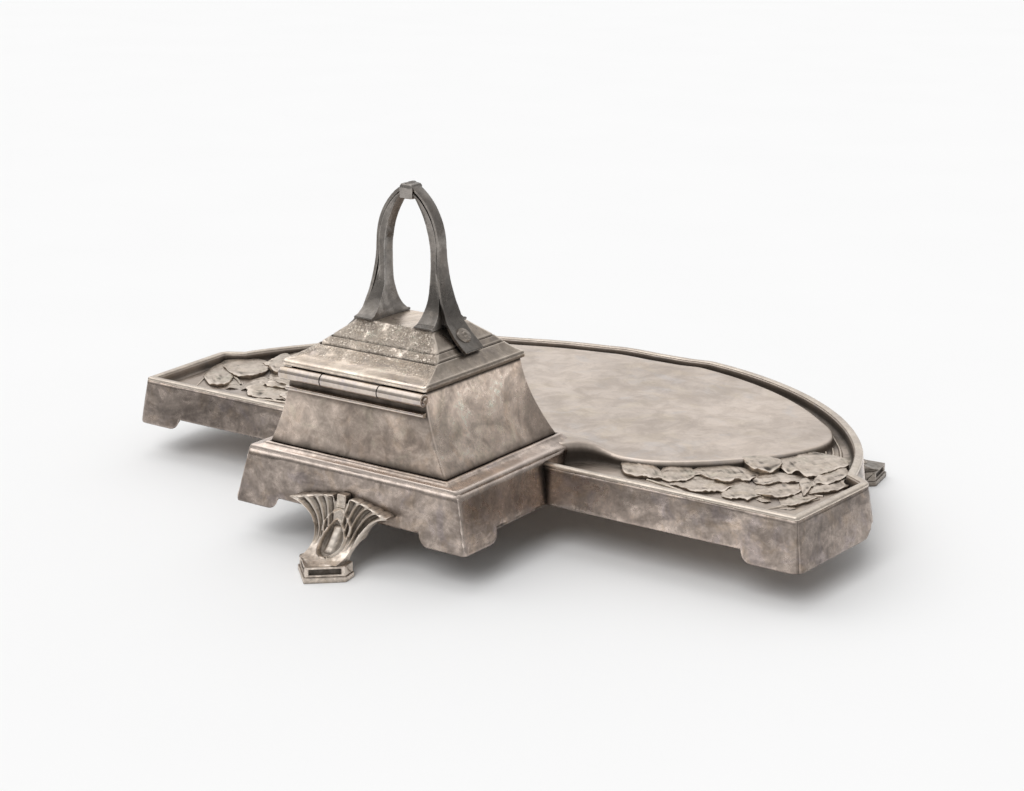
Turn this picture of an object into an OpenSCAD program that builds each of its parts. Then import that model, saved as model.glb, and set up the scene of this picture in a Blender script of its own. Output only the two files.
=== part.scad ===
// Desk inkstand: half-round pen tray on three cast feet, with a square plinth,
// a tapering well housing, a hinged stepped lid with a loop handle, and a glass liner.
// Units are millimetres. +X runs along the straight rear edge, +Y is the hinge side, +Z is up.
// The origin is the middle of the part's footprint on the surface it stands on.

/* [Tray] */
// half length of the straight rear edge
tray_half = 141.2;
// half length at the outer ends of the end faces
end_half = 144.6;
// depth of the straight end faces
end_depth = 47.4;
// radius of the curved front edge
front_r = 143;
// distance from the rear edge to the centre of the front curve
front_c = 10;
// height of the tray rim
rim_z = 31.1;
// width of the flat rim band
rim_w = 3.2; // [2.6:0.1:4]
// depth of the channel inside the rim
channel_d = 4.3; // [3.7:0.1:5]
// height of the raised pen pan above the channel
pan_h = 3.3; // [2.6:0.1:3.6]
// radius of the pan's front edge
pan_r = 135.5; // [133:0.5:136]
// radius of the pan's rear corners
pan_corner_r = 60.4; // [57:0.2:62]
// sheet thickness
sheet = 1.5;

/* [Aprons] */
// how far the aprons lean out from top to foot
batter = 3.0;
// height of the corner feet above the table
foot_z = 13.2;
// height of the cut-out edge above the table
cut_z = 17.3; // [16.4:0.1:18.5]
// length of each corner foot
corner_foot = 17.5; // [14:0.5:22]

/* [Plinth] */
// half width of the plinth at its foot
plinth_half = 49.4; // [49:0.1:50]
// half width of the plinth at its top edge
plinth_top_half = 44.6; // [44.2:0.1:45]
// distance from the rear edge to the plinth's foot
plinth_y = 51.0; // [50.6:0.1:51.6]
// distance from the rear edge to the plinth's top edge
plinth_top_y = 48.5; // [48.2:0.1:49]
// height of the plinth's top edge
plinth_z = 33.2; // [32.8:0.1:33.6]
// height of the moulding that carries the well
base_z = 35.8; // [35.3:0.1:36.3]

/* [Well] */
// half width of the well at its foot
well_half = 37.4; // [36.6:0.1:38]
// half width of the well at its top
well_top_half = 28.2; // [27.8:0.1:28.6]
// rear face of the well at its foot
well_rear = 45.2; // [44.8:0.1:45.6]
// rear face of the well at its top
well_top_rear = 43.9; // [43.6:0.1:44.1]
// front face of the well at its foot, behind the rear edge
well_front = 19.6; // [19:0.1:20.2]
// front face of the well at its top, behind the rear edge
well_top_front = 10.6; // [10.2:0.1:11.2]
// height of the well's top edge
well_z = 63.6;

/* [Liner] */
// outside radius of the glass liner's body
liner_r = 15.5; // [14:0.1:16]
// radius of the liner's flange
flange_r = 17.5; // [17:0.1:18]
// height of the liner's underside
liner_z = 36.5; // [36.5:0.5:42]

/* [Lid] */
// half width of the lid
lid_half = 30.2;
// half depth of the lid
lid_half_y = 24.5;
// middle of the lid, in front of the rear edge
lid_y = 13.4;
// gap between the well and the lid
lid_gap = 0.3;
// height of the lid from its lower edge to its platform
lid_h = 13.7; // [13.4:0.1:14]
// inset of the platform from the lid's edge
platform_inset = 14.5; // [14.2:0.1:14.8]

/* [Hinge] */
// radius of the hinge barrel
barrel_r = 2.2;
// radius of the hinge pin
pin_r = 1.0; // [0.8:0.05:1.05]
// clearance between the pin and the knuckles
pin_clear = 0.05; // [0.03:0.01:0.08]
// middle of the barrel, in front of the rear edge
hinge_y = 46.6;
// height of the barrel
hinge_z = 61.4;
// half length of the barrel
hinge_half = 30.0; // [28:0.1:30.4]
// half length of the middle knuckle
mid_half = 12.0; // [9:0.1:15]

/* [Handle] */
// height of the top of the handle
handle_z = 124.9; // [124:0.1:126]
// half depth of the handle's bar
bar_d = 2.35; // [2.2:0.05:2.6]
// half width of the handle's arch
arch_half = 13.2; // [13:0.1:13.4]

/* [Feet] */
// half width of the palmette at the top of each foot
fan_half = 21; // [19:0.5:23]
// angle of the front feet from the middle of the front
foot_angle = 39; // [37:0.1:41]
// reach of each toe beyond the apron
toe_reach = 22; // [20:0.5:24]
// how much further the front toes reach
front_extra = 3.5; // [3:0.1:4]

/* [Hidden] */

big = 400;
seat_z = rim_z - 1.2;                 // top of the aprons, under the rim band
floor_z = rim_z - channel_d;          // channel floor, upper side
plate_z = floor_z - sheet;            // channel floor, lower side
slope = batter / (seat_z - foot_z);
front_y = -front_c - front_r - batter;
rear_y = plinth_y + toe_reach;
y_shift = 40.25;                      // puts the middle of the footprint on the origin
lid_z = well_z + lid_gap;             // lower edge of the lid
platform_z = lid_z + lid_h;
end_ang = atan2(end_half - tray_half, end_depth);
shoulder_ang = 32;                    // how the shoulder turns in behind the end face
corner_r = 5;

tray_col = [0.56, 0.53, 0.50];
pan_col = [0.64, 0.61, 0.58];
lid_col = [0.50, 0.48, 0.46];
bright_col = [0.70, 0.68, 0.65];
foot_col = [0.60, 0.57, 0.53];

module placed() { translate([0, y_shift, 0]) children(); }
module flip(s) { if (s > 0) children(); else mirror([1, 0, 0]) children(); }
// a front-view outline (x, z) carried from y = a to y = b
module along_y(a, b) { translate([0, b, 0]) rotate([90, 0, 0]) linear_extrude(b - a) children(); }
// a side-view outline (y, z) carried from x = a to x = b
module along_x(a, b) { translate([a, 0, 0]) rotate([90, 0, 90]) linear_extrude(b - a) children(); }

// ---- outline helpers -------------------------------------------------------
// everything on the inner side of an end face moved in by d, leaning out below the seat
module end_side(d, lean) {
  translate([tray_half, 0, 0]) rotate([0, 0, end_ang])
    along_y(-big, big) polygon(lean == 0
      ? [[-big, -10], [-d, -10], [-d, 60], [-big, 60]]
      : [[-big, foot_z - 6], [-d + slope * (seat_z - foot_z + 6), foot_z - 6], [-d, seat_z], [-big, seat_z]]);
}
// everything behind a line parallel to the rear edge moved in by d
module rear_side(d, lean) {
  along_x(-big, big) polygon(lean == 0
      ? [[-big, -10], [-d, -10], [-d, 60], [-big, 60]]
      : [[-big, foot_z - 6], [-d + slope * (seat_z - foot_z + 6), foot_z - 6], [-d, seat_z], [-big, seat_z]]);
}
end_run = end_depth - 3.4;             // straight part of the end face
corner_x = tray_half + end_run * sin(end_ang) - corner_r * cos(end_ang);
corner_y = -end_run * cos(end_ang) - corner_r * sin(end_ang);
// everything on the inner side of the shoulder behind the end face
module shoulder_side(d) {
  translate([corner_x, corner_y, 0]) rotate([0, 0, -90 + shoulder_ang])
    translate([-big, -big, -10]) cube([big + corner_r - d, 2 * big, 70]);
}
module front_cone(d, lean) {
  translate([0, -front_c, 0]) {
    if (lean == 0) translate([0, 0, -10]) cylinder(r = front_r - d, h = 70, $fn = 240);
    else translate([0, 0, foot_z - 6]) cylinder(r1 = front_r - d + slope * (seat_z - foot_z + 6), r2 = front_r - d, h = seat_z - foot_z + 6, $fn = 240);
  }
}
// one end block: bounded by the rear edge, the end face, a rounded corner and the shoulder
module end_block(d) {
  intersection() {
    rear_side(d, 0);
    end_side(d, 0);
    shoulder_side(d);
    union() {
      translate([corner_x, corner_y, -20]) rotate([0, 0, end_ang]) translate([-big, 0, 0]) cube([2 * big, big, 100]);
      translate([corner_x, corner_y, -20]) rotate([0, 0, -90 + shoulder_ang]) translate([-big, -big, 0]) cube([2 * big, big, 100]);
      translate([corner_x, corner_y, -10]) cylinder(r = corner_r - d, h = 70, $fn = 48);
    }
    translate([0, -big, -20]) cube([big, 2 * big, 100]);
  }
}
module tray_solid(d) {
  union() {
    end_block(d);
    mirror([1, 0, 0]) end_block(d);
    intersection() {
      front_cone(d, 0);
      translate([-big, -big, -20]) cube([2 * big, big - 40, 100]);
    }
  }
}
module slab(z0, z1) { translate([-big, -big, z0]) cube([2 * big, 2 * big, z1 - z0]); }

// ---- tray ------------------------------------------------------------------
module pan_solid(d, z0, z1) {
  intersection() {
    translate([0, -front_c, z0]) cylinder(r = pan_r - d, h = z1 - z0, $fn = 240);
    union() {
      for (s = [-1, 1]) translate([s * 52, -83, z0]) cylinder(r = pan_corner_r - d, h = z1 - z0, $fn = 120);
      translate([-52, -200, z0]) cube([104, 200 - 83 + pan_corner_r - d, z1 - z0]);
      translate([-52 - pan_corner_r + d, -200, z0]) cube([104 + 2 * pan_corner_r - 2 * d, 117, z1 - z0]);
    }
  }
}
module tray_plate() {
  color(pan_col) placed() difference() {
    union() {
      // rim band
      intersection() {
        difference() { tray_solid(0); tray_solid(rim_w); }
        slab(seat_z, rim_z);
      }
      // inner wall of the channel
      intersection() {
        difference() { tray_solid(2.0); tray_solid(rim_w); }
        slab(floor_z, seat_z);
      }
      // channel floor
      intersection() { tray_solid(2.0); slab(plate_z, floor_z); }
      // raised pan in two steps
      pan_solid(0, floor_z, floor_z + pan_h - 0.9);
      pan_solid(1.1, floor_z + pan_h - 0.9, floor_z + pan_h);
      // low boss on the pan behind the rim pinch
      translate([-5, -front_c - pan_r + 6.5, floor_z + pan_h]) cylinder(r1 = 4.2, r2 = 3.0, h = 0.7, $fn = 40);
    }
    // hollow under the pan
    pan_solid(2.6, plate_z - 1, floor_z + pan_h - sheet);
    // seat of the well moulding
    translate([-plinth_top_half, -23.9, floor_z]) cube([2 * plinth_top_half, 60, 20]);
    // opening under the well
    translate([-34, -15, plate_z - 1]) cube([68, 40, 20]);
    // pinch in the middle of the front rim
    translate([-6, -front_c - front_r - 15.2, seat_z - 1]) cylinder(r = 17, h = 10, $fn = 80);
  }
}

// ---- aprons ----------------------------------------------------------------
// foot cut-out with a quarter-round cushion at its end, in the (x, z) plane
module cut_shape(a, b) {
  difference() {
    translate([a, 0]) square([b - a, cut_z]);
    translate([b, cut_z]) circle(r = cut_z - foot_z, $fn = 48);
  }
}
module front_apron() {
  color(tray_col) placed() intersection() {
    difference() { front_cone(0, 1); front_cone(sheet, 1); }
    slab(cut_z, seat_z);
    // stops just inside the shoulders
    translate([-big, -big, 0]) cube([2 * big, big - 50.5, 100]);
  }
}
module rear_apron(s) {
  color(tray_col) placed() flip(s) difference() {
    intersection() {
      difference() { rear_side(0, 1); rear_side(sheet, 1); }
      end_side(0, 1);
      translate([plinth_top_half - 4, -40, 0]) cube([big, 80, 100]);
      slab(foot_z, seat_z);
    }
    along_y(-40, 40) cut_shape(0, tray_half + batter - corner_foot);
    plinth_solid(0);
  }
}
module rear_apron_left() { rear_apron(1); }
module rear_apron_right() { rear_apron(-1); }
// section of a leaning strip: distance out across, z up
module strip_section(zb) {
  polygon([[0, seat_z], [slope * (seat_z - zb), zb], [slope * (seat_z - zb) - sheet, zb], [-sheet, seat_z]]);
}
module end_apron(s) {
  color(tray_col) placed() flip(s) difference() {
    union() {
      // end face
      intersection() {
        translate([corner_x, corner_y, 0]) rotate([0, 0, end_ang]) translate([corner_r, 0, 0])
          along_y(-0.3, end_depth + 20) strip_section(foot_z);
        rear_side(sheet, 1);
      }
      // rounded corner
      translate([corner_x, corner_y, 0]) rotate([0, 0, -90 + shoulder_ang])
        rotate_extrude(angle = 90 - shoulder_ang + end_ang, $fn = 96) translate([corner_r, 0]) strip_section(foot_z);
      // shoulder
      translate([corner_x, corner_y, 0]) rotate([0, 0, -90 + shoulder_ang]) translate([corner_r, 0, 0])
        along_y(-16, 0) strip_section(foot_z);
    }
    intersection() { front_cone(0, 1); translate([-big, -big, -20]) cube([2 * big, big - 49, 100]); }
    // the shoulder has no foot
    translate([tray_half - 60, corner_y - 62, -10]) cube([200, 60, cut_z + 10]);
  }
}
module end_apron_left() { end_apron(1); }
module end_apron_right() { end_apron(-1); }

// ---- plinth ----------------------------------------------------------------
module plinth_solid(d) {
  intersection() {
    along_y(-1.5, 60) polygon([[-plinth_half + d, foot_z], [plinth_half - d, foot_z],
      [plinth_top_half - d, plinth_z], [-plinth_top_half + d, plinth_z]]);
    along_x(-60, 60) polygon([[-2, foot_z], [plinth_y - d, foot_z], [plinth_top_y - d, plinth_z], [-2, plinth_z]]);
  }
}
module plinth() {
  color(tray_col) placed() difference() {
    plinth_solid(0);
    intersection() {
      along_y(-3, 60) polygon([[-plinth_half + 1.6, foot_z - 1], [plinth_half - 1.6, foot_z - 1],
        [plinth_half - 1.6, foot_z], [plinth_top_half - 1.6, plinth_z], [plinth_top_half - 1.6, plinth_z + 1],
        [-plinth_top_half + 1.6, plinth_z + 1], [-plinth_top_half + 1.6, plinth_z], [-plinth_half + 1.6, foot_z]]);
      along_x(-60, 60) polygon([[-3, foot_z - 1], [plinth_y - 1.6, foot_z - 1], [plinth_y - 1.6, foot_z],
        [plinth_top_y - 1.6, plinth_z], [plinth_top_y - 1.6, plinth_z + 1], [-3, plinth_z + 1]]);
    }
    // cut-outs between the corner feet
    along_y(5, 60) { cut_shape(0, plinth_half - 15); mirror([1, 0]) cut_shape(0, plinth_half - 15); }
    along_x(-60, 60) difference() {
      translate([-5, 0]) square([plinth_y - 15 + 5, cut_z]);
      translate([plinth_y - 15, cut_z]) circle(r = cut_z - foot_z, $fn = 48);
    }
  }
}
module moulding_solid() {
  intersection() {
    along_y(-60, 60) polygon([[-plinth_top_half, plinth_z], [plinth_top_half, plinth_z],
      [plinth_top_half - 0.3, plinth_z + 0.5], [well_half + 2.0, base_z - 0.9], [well_half + 1.6, base_z - 0.7],
      [well_half + 1.2, base_z], [-well_half - 1.2, base_z], [-well_half - 1.6, base_z - 0.7],
      [-well_half - 2.0, base_z - 0.9], [-plinth_top_half + 0.3, plinth_z + 0.5]]);
    along_x(-60, 60) polygon([[-24.4, plinth_z], [plinth_top_y, plinth_z], [plinth_top_y - 0.3, plinth_z + 0.5],
      [well_rear + 1.3, base_z - 0.9], [well_rear + 1.1, base_z - 0.7], [well_rear + 0.8, base_z],
      [-well_front - 1.2, base_z], [-well_front - 1.6, base_z - 0.7], [-well_front - 2.0, base_z - 0.9],
      [-24.1, plinth_z + 0.5]]);
  }
}
module plinth_moulding() {
  color(tray_col) placed() difference() {
    union() {
      moulding_solid();
      // skirt that stands on the tray floor
      translate([-plinth_top_half, -24.4 + 0.5, floor_z]) cube([2 * plinth_top_half, 24.4 - 0.5 - 1.5, plinth_z - floor_z]);
    }
    intersection() {
      along_y(-22.3, 47.2) polygon([[-plinth_top_half + 1.7, floor_z - 1], [plinth_top_half - 1.7, floor_z - 1],
        [plinth_top_half - 1.7, plinth_z - 0.7], [well_half - 1.6, base_z - 1.4], [well_half - 1.6, base_z + 1],
        [-well_half + 1.6, base_z + 1], [-well_half + 1.6, base_z - 1.4], [-plinth_top_half + 1.7, plinth_z - 0.7]]);
      along_x(-60, 60) polygon([[-22.2, floor_z - 1], [plinth_top_y - 1.7, floor_z - 1], [plinth_top_y - 1.7, plinth_z - 0.7],
        [well_rear - 1.6, base_z - 1.2], [well_rear - 1.6, base_z + 1], [-well_front + 1.6, base_z + 1],
        [-well_front + 1.6, base_z - 1.4], [-22.2, plinth_z - 0.9]]);
    }
  }
}

// ---- well ------------------------------------------------------------------
// circle that hollows a side line by sag: from (x0, z0) at the foot to (x1, z1) at the top
module sag_circle(x0, z0, x1, z1, sag) {
  c = norm([x1 - x0, z1 - z0]);
  r = c * c / (8 * sag) + sag / 2;
  // unit normal pointing away from the body
  n = [(z1 - z0) / c, (x0 - x1) / c];
  translate([(x0 + x1) / 2 + n[0] * (r - sag), (z0 + z1) / 2 + n[1] * (r - sag)]) circle(r = r, $fn = 360);
}
module well_front_view(d, z0, z1) {
  intersection() {
    translate([-60, z0]) square([120, z1 - z0]);
    difference() {
      polygon([[-well_half + d, base_z - 2], [well_half - d, base_z - 2], [well_half - d, base_z],
        [well_top_half - d, well_z], [well_top_half - d, well_z + 2], [-well_top_half + d, well_z + 2],
        [-well_top_half + d, well_z], [-well_half + d, base_z]]);
      sag_circle(well_half - d, base_z, well_top_half - d, well_z, 1.3);
      mirror([1, 0]) sag_circle(well_half - d, base_z, well_top_half - d, well_z, 1.3);
    }
  }
}
module well_side_view(d, z0, z1) {
  intersection() {
    translate([-60, z0]) square([120, z1 - z0]);
    difference() {
      polygon([[-well_front + d, base_z - 2], [well_rear - d, base_z - 2], [well_rear - d, base_z],
        [well_top_rear - d, well_z], [well_top_rear - d, well_z + 2], [-well_top_front + d, well_z + 2],
        [-well_top_front + d, well_z], [-well_front + d, base_z]]);
      mirror([1, 0]) sag_circle(well_front - d, base_z, well_top_front - d, well_z, 1.1);
    }
  }
}
module well_solid(d, z0, z1) {
  intersection() {
    along_y(-60, 60) well_front_view(d, z0, z1);
    along_x(-60, 60) well_side_view(d, z0, z1);
  }
}
module well_housing() {
  color(lid_col) placed() difference() {
    well_solid(0, base_z, well_z);
    well_solid(1.6, base_z - 1, well_z + 1);
  }
}
liner_y = 15.0;
module well_collar() {
  color(bright_col) placed() difference() {
    well_solid(1.6, well_z - 3.1, well_z - 1.5);
    translate([0, liner_y, well_z - 6]) cylinder(r = liner_r + 0.3, h = 8, $fn = 96);
  }
}
module glass_liner() {
  color([0.80, 0.88, 0.86, 0.5]) placed() translate([0, liner_y, 0]) difference() {
    union() {
      translate([0, 0, liner_z]) cylinder(r = liner_r, h = well_z - 1.5 - liner_z, $fn = 96);
      translate([0, 0, well_z - 1.5]) cylinder(r = flange_r, h = 1.5, $fn = 96);
    }
    translate([0, 0, liner_z + 2.6]) cylinder(r = liner_r - 2.2, h = 40, $fn = 96);
  }
}

// ---- hinge -----------------------------------------------------------------
module hinge_ledge() {
  color(bright_col) placed() difference() {
    along_x(-well_top_half - 0.9, well_top_half + 0.9) union() {
      translate([40, hinge_z - 6.2]) square([well_top_rear + 1.7 - 40, 1.4]);
      translate([well_top_rear + 1.7, hinge_z - 5.5]) circle(r = 0.7, $fn = 32);
    }
    well_solid(0, base_z, well_z);
  }
}
module barrel(a, b) {
  translate([a, hinge_y, hinge_z]) rotate([0, 90, 0]) difference() {
    cylinder(r = barrel_r, h = b - a, $fn = 64);
    translate([0, 0, -1]) cylinder(r = pin_r + pin_clear, h = b - a + 2, $fn = 48);
  }
}
module side_knuckle() {
  difference() {
    union() {
      barrel(mid_half + 0.15, hinge_half);
      // web soldered to the rear face of the well
      difference() {
        translate([mid_half + 0.15, well_top_rear - 2, hinge_z - 1.5]) cube([well_top_half - 0.6 - mid_half - 0.15, hinge_y - well_top_rear + 2, 2.6]);
        translate([0, hinge_y, hinge_z]) rotate([0, 90, 0]) cylinder(r = barrel_r - 0.6, h = 60, $fn = 64);
      }
    }
    well_solid(0, base_z, well_z);
  }
}
module knuckle_left() { color(bright_col) placed() side_knuckle(); }
module knuckle_right() { color(bright_col) placed() mirror([1, 0, 0]) side_knuckle(); }
module knuckle_middle() {
  color(bright_col) placed() difference() {
    union() {
      barrel(-mid_half, mid_half);
      difference() {
        translate([-mid_half, hinge_y - barrel_r, hinge_z]) cube([2 * mid_half, 1.3, lid_z - hinge_z]);
        translate([-30, hinge_y, hinge_z]) rotate([0, 90, 0]) cylinder(r = barrel_r - 0.6, h = 60, $fn = 64);
      }
    }
  }
}
module hinge_pin() {
  color(bright_col) placed() translate([-hinge_half - 0.5, hinge_y, hinge_z]) rotate([0, 90, 0])
    cylinder(r = pin_r, h = 2 * hinge_half + 1, $fn = 48);
}

// ---- lid -------------------------------------------------------------------
a_z = lid_z + 6.0;    // groove at the top of the cove
b_z = lid_z + 8.1;    // top of the narrow band
// half outline of the lid in a vertical plane; hw is its half width, d the wall inset
module lid_view(hw, d) {
  difference() {
    union() {
      translate([-hw + d, lid_z]) square([2 * (hw - d), 2.2 - d * 0.3]);
      polygon([[-hw + d, lid_z], [hw - d, lid_z], [hw - d, lid_z + 2.2 - d * 0.6], [hw - 0.8 - d, lid_z + 2.6 - d * 0.6],
        [hw - 5.4 - d, a_z - d * 0.6], [hw - 6.4 - d, b_z - d * 0.6], [hw - 7.1 - d, b_z + 0.2 - d * 0.6],
        [hw - platform_inset - d * 0.6, platform_z - d], [-hw + platform_inset + d * 0.6, platform_z - d],
        [-hw + 7.1 + d, b_z + 0.2 - d * 0.6], [-hw + 6.4 + d, b_z - d * 0.6], [-hw + 5.4 + d, a_z - d * 0.6],
        [-hw + 0.8 + d, lid_z + 2.6 - d * 0.6], [-hw + d, lid_z + 2.2 - d * 0.6]]);
    }
    if (d == 0) for (m = [0, 1]) mirror([m, 0]) {
      sag_circle(hw - 0.8, lid_z + 2.6, hw - 5.4, a_z, 0.6);
      sag_circle(hw - 7.1, b_z + 0.2, hw - platform_inset, platform_z, 0.55);
    }
  }
}
module lid_solid(d) {
  intersection() {
    along_y(-60, 80) lid_view(lid_half, d);
    translate([0, lid_y, 0]) along_x(-60, 60) lid_view(lid_half_y, d);
  }
}
module lid_shell() {
  color(lid_col) placed() difference() {
    lid_solid(0);
    lid_solid(1.7);
    translate([-lid_half + 1.7, lid_y - lid_half_y + 1.7, lid_z - 1]) cube([2 * lid_half - 3.4, 2 * lid_half_y - 3.4, 1.6]);
    for (s = [-1, 1]) rivet_at(s) translate([0, 0, -8]) cylinder(r = 1.1, h = 16, $fn = 32);
  }
}
module lid_leaf() {
  color(lid_col) placed() difference() {
    along_x(-lid_half, lid_half) polygon([[lid_y + lid_half_y - 1.6, lid_z], [hinge_y - barrel_r + 1.3, lid_z],
      [hinge_y - barrel_r + 1.3, lid_z + 0.7], [lid_y + lid_half_y + 2.2, lid_z + 1.7], [lid_y + lid_half_y - 1.6, lid_z + 2.1]]);
    lid_solid(0);
  }
}

// ---- handle ----------------------------------------------------------------
// flare of the riveted straps: an arc down the leg, then a flat riveted end
strap_c = [arch_half + 0.1 + 63.8, 104];
strap_r = 63.8;
rivet_c = [21.7, 75.1];      // middle of the rivet on the strap's outer face, front view
rivet_tilt = 42.4;           // lean of the rivet from upright
leg_flare_r = 18.5;
module arch_view() {
  difference() {
    union() {
      // outer pointed arch
      intersection() {
        for (s = [-1]) translate([s * 9.95, 104 + handle_z - 124.9]) circle(r = arch_half + 9.95, $fn = 180);
        translate([9.95, 104 + handle_z - 124.9]) circle(r = arch_half + 9.95, $fn = 180);
        translate([-30, 100]) square([60, 40]);
      }
      // legs
      translate([-arch_half - 0.4, platform_z]) square([2 * arch_half + 0.8, 100.5 - platform_z]);
    }
    // loop
    difference() {
      union() {
        intersection() {
          translate([-24, 100]) circle(r = 33.8, $fn = 180);
          translate([24, 100]) circle(r = 33.8, $fn = 180);
          translate([-30, 90]) square([60, 40]);
        }
        translate([-9.6, platform_z - 1]) square([19.2, 95 - platform_z]);
      }
      // keystone
      translate([-2.9, 119.4 + handle_z - 124.9]) square([5.8, 6]);
    }
  }
}
module leg_side_view() {
  difference() {
    translate([lid_y + 0.25 - 9.9, platform_z]) square([19.8, handle_z + 1 - platform_z]);
    for (m = [-1, 1]) translate([lid_y + 0.25 + m * (bar_d + leg_flare_r), 93.2]) circle(r = leg_flare_r, $fn = 96);
    for (m = [-1, 1]) translate([lid_y + 0.25 + m * (bar_d + 20), 93.2 + 30]) square([40, 60], center = true);
  }
}
module strap_view() {
  intersection() {
    difference() {
      translate(strap_c) circle(r = strap_r + 1.4, $fn = 360);
      translate(strap_c) circle(r = strap_r, $fn = 360);
    }
    translate([10, 78.9]) square([17, 21]);
  }
  polygon([[strap_c[0] - sqrt(strap_r * strap_r - pow(strap_c[1] - 79, 2)), 79], rivet_c + [-2.3, 2.1], rivet_c + [2.3, -2.1],
    [25.8, 70.6], [25.1, 70.2], [24.0, 70.2], [20, 72], [16.4, 76], [16.9, 79]]);
}
module strap(s) {
  flip(s) difference() {
    intersection() {
      along_y(-20, 40) strap_view();
      along_x(0, 40) polygon([[lid_y + 0.25 - 4.9, a_z], [lid_y + 0.25 + 4.9, a_z], [lid_y + 0.25 + 4.3, 82],
        [lid_y + 0.25 + bar_d, 100], [lid_y + 0.25 - bar_d, 100], [lid_y + 0.25 - 4.3, 82]]);
    }
    lid_solid(0);
  }
}
// frame on the strap: origin at the rivet, +Z out of the lid
module rivet_at(s) {
  flip(s) translate([rivet_c[0], lid_y + 0.25, rivet_c[1]]) rotate([0, rivet_tilt, 0]) children();
}
module handle_arch() {
  color(lid_col) placed() difference() {
    union() {
      intersection() {
        along_y(-20, 50) arch_view();
        along_x(-30, 30) leg_side_view();
      }
      // keystone boss
      translate([-2.9, lid_y + 0.25 - bar_d - 0.5, handle_z - 5.5]) cube([5.8, 2 * bar_d + 1, 5.2]);
      strap(1);
      strap(-1);
    }
    for (s = [-1, 1]) rivet_at(s) translate([0, 0, -4]) cylinder(r = 1.1, h = 8, $fn = 32);
  }
}
module rivet(s) {
  color(bright_col) placed() union() {
    // domed head that sits on the strap
    rivet_at(s) {
      cylinder(r1 = 3.0, r2 = 2.5, h = 0.8, $fn = 48);
      translate([0, 0, 0.2]) intersection() { sphere(r = 1.5, $fn = 48); translate([-2, -2, 0]) cube(4); }
      // shank through the strap and the lid
      translate([0, 0, -4.0]) cylinder(r = 1.05, h = 4.4, $fn = 32);
    }
    // inner head, flush against the lid's inside
    intersection() {
      rivet_at(s) translate([0, 0, -4.8]) cylinder(r = 2.0, h = 4, $fn = 32);
      lid_solid(1.7);
    }
  }
}
module rivet_left() { rivet(1); }
module rivet_right() { rivet(-1); }

// ---- leaf sprays -----------------------------------------------------------
module leaf(l, w) {
  r = (l * l / 4 + w * w / 4) / w;
  intersection() {
    translate([0, r - w / 2, 0]) cylinder(r = r, h = 1.0, $fn = 64);
    translate([0, -r + w / 2, 0]) cylinder(r = r, h = 1.0, $fn = 64);
  }
}
module leaf_spray(s) {
  color(pan_col) placed() flip(s) difference() {
    intersection() {
      union() {
        // stem that runs along the channel
        translate([0, -front_c, floor_z]) intersection() {
          difference() { cylinder(r = 136.4, h = 1.2, $fn = 240); translate([0, 0, -1]) cylinder(r = 134.9, h = 4, $fn = 240); }
          rotate([0, 0, -50]) cube([200, 200, 4]);
          translate([0, -150, 0]) cube([200, 120, 4]);
        }
        // overlapping leaves, the largest towards the outer end
        for (i = [0:9]) {
          t = i / 9;
          translate([64 + 62 * t, -13 - 4 * sin(250 * t) - 17 * t * t, floor_z - 0.3])
            rotate([0, 0, 24 - 55 * t + 28 * (i % 2)]) rotate([6, -7, 0]) leaf(19 + 4 * (i % 3), 9 + 2 * (i % 2));
        }
        for (i = [0:3]) {
          t = i / 3;
          translate([107 + 20 * t, -34 - 14 * t, floor_z - 0.3])
            rotate([0, 0, -60 + 34 * i]) rotate([-6, -7, 0]) leaf(17, 9);
        }
      }
      tray_solid(rim_w + 0.05);
      slab(floor_z, rim_z);
    }
    pan_solid(-0.05, floor_z - 1, rim_z + 2);
  }
}
module leaf_spray_left() { leaf_spray(1); }
module leaf_spray_right() { leaf_spray(-1); }

// ---- feet ------------------------------------------------------------------
// front view of the palmette and leg: x across, z up
module foot_view() {
  difference() {
    union() {
      polygon([[-fan_half, 17.0], [-fan_half + 1.2, 21.4], [-12.5, 23.4], [-5, 23.0], [-2.4, 25.2], [2.4, 25.2],
        [5, 23.0], [12.5, 23.4], [fan_half - 1.2, 21.4], [fan_half, 17.0], [9.8, 4], [-9.8, 4]]);
    }
    for (m = [-1, 1]) translate([m * 23.4, 5.8]) circle(r = 15.6, $fn = 96);
    for (m = [-1, 1]) translate([m * 16.5, 25.6]) circle(r = 3.6, $fn = 48);
  }
}
// side view of the leg: distance out from the wall's foot line across, z up
module leg_view(e) {
  difference() {
    polygon([[-2.4, 17.4], [2.6 + 0.4 * e, 17.4], [2.9 + 0.5 * e, 15], [toe_reach + e - 9.5, 6.0], [toe_reach + e - 9.5, 1.5], [toe_reach + e - 15, 1.5], [-2.0, 14.0]]);
    translate([15.6 + e, 18.0]) circle(r = 12.2, $fn = 96);
    translate([-2.6 + e, 0.4]) circle(r = 11.4, $fn = 96);
  }
}
module toe() {
  r = toe_reach;
  difference() {
    union() {
      linear_extrude(2.1) polygon([[0, r], [10.4, r - 9.4], [9.2, r - 15.2], [-9.2, r - 15.2], [-10.4, r - 9.4]]);
      translate([0, 0, 2.1]) linear_extrude(3.7) polygon([[0, r - 0.7], [9.8, r - 9.6], [8.8, r - 14.6], [-8.8, r - 14.6], [-9.8, r - 9.6]]);
    }
    // slot panels in the two front facets
    for (m = [0, 1]) mirror([m, 0, 0]) translate([5.2, r - 4.9, 2.9]) rotate([0, 0, -42.5]) translate([-4.9, -0.35, 0]) cube([9.8, 3, 1.9]);
  }
}
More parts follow.
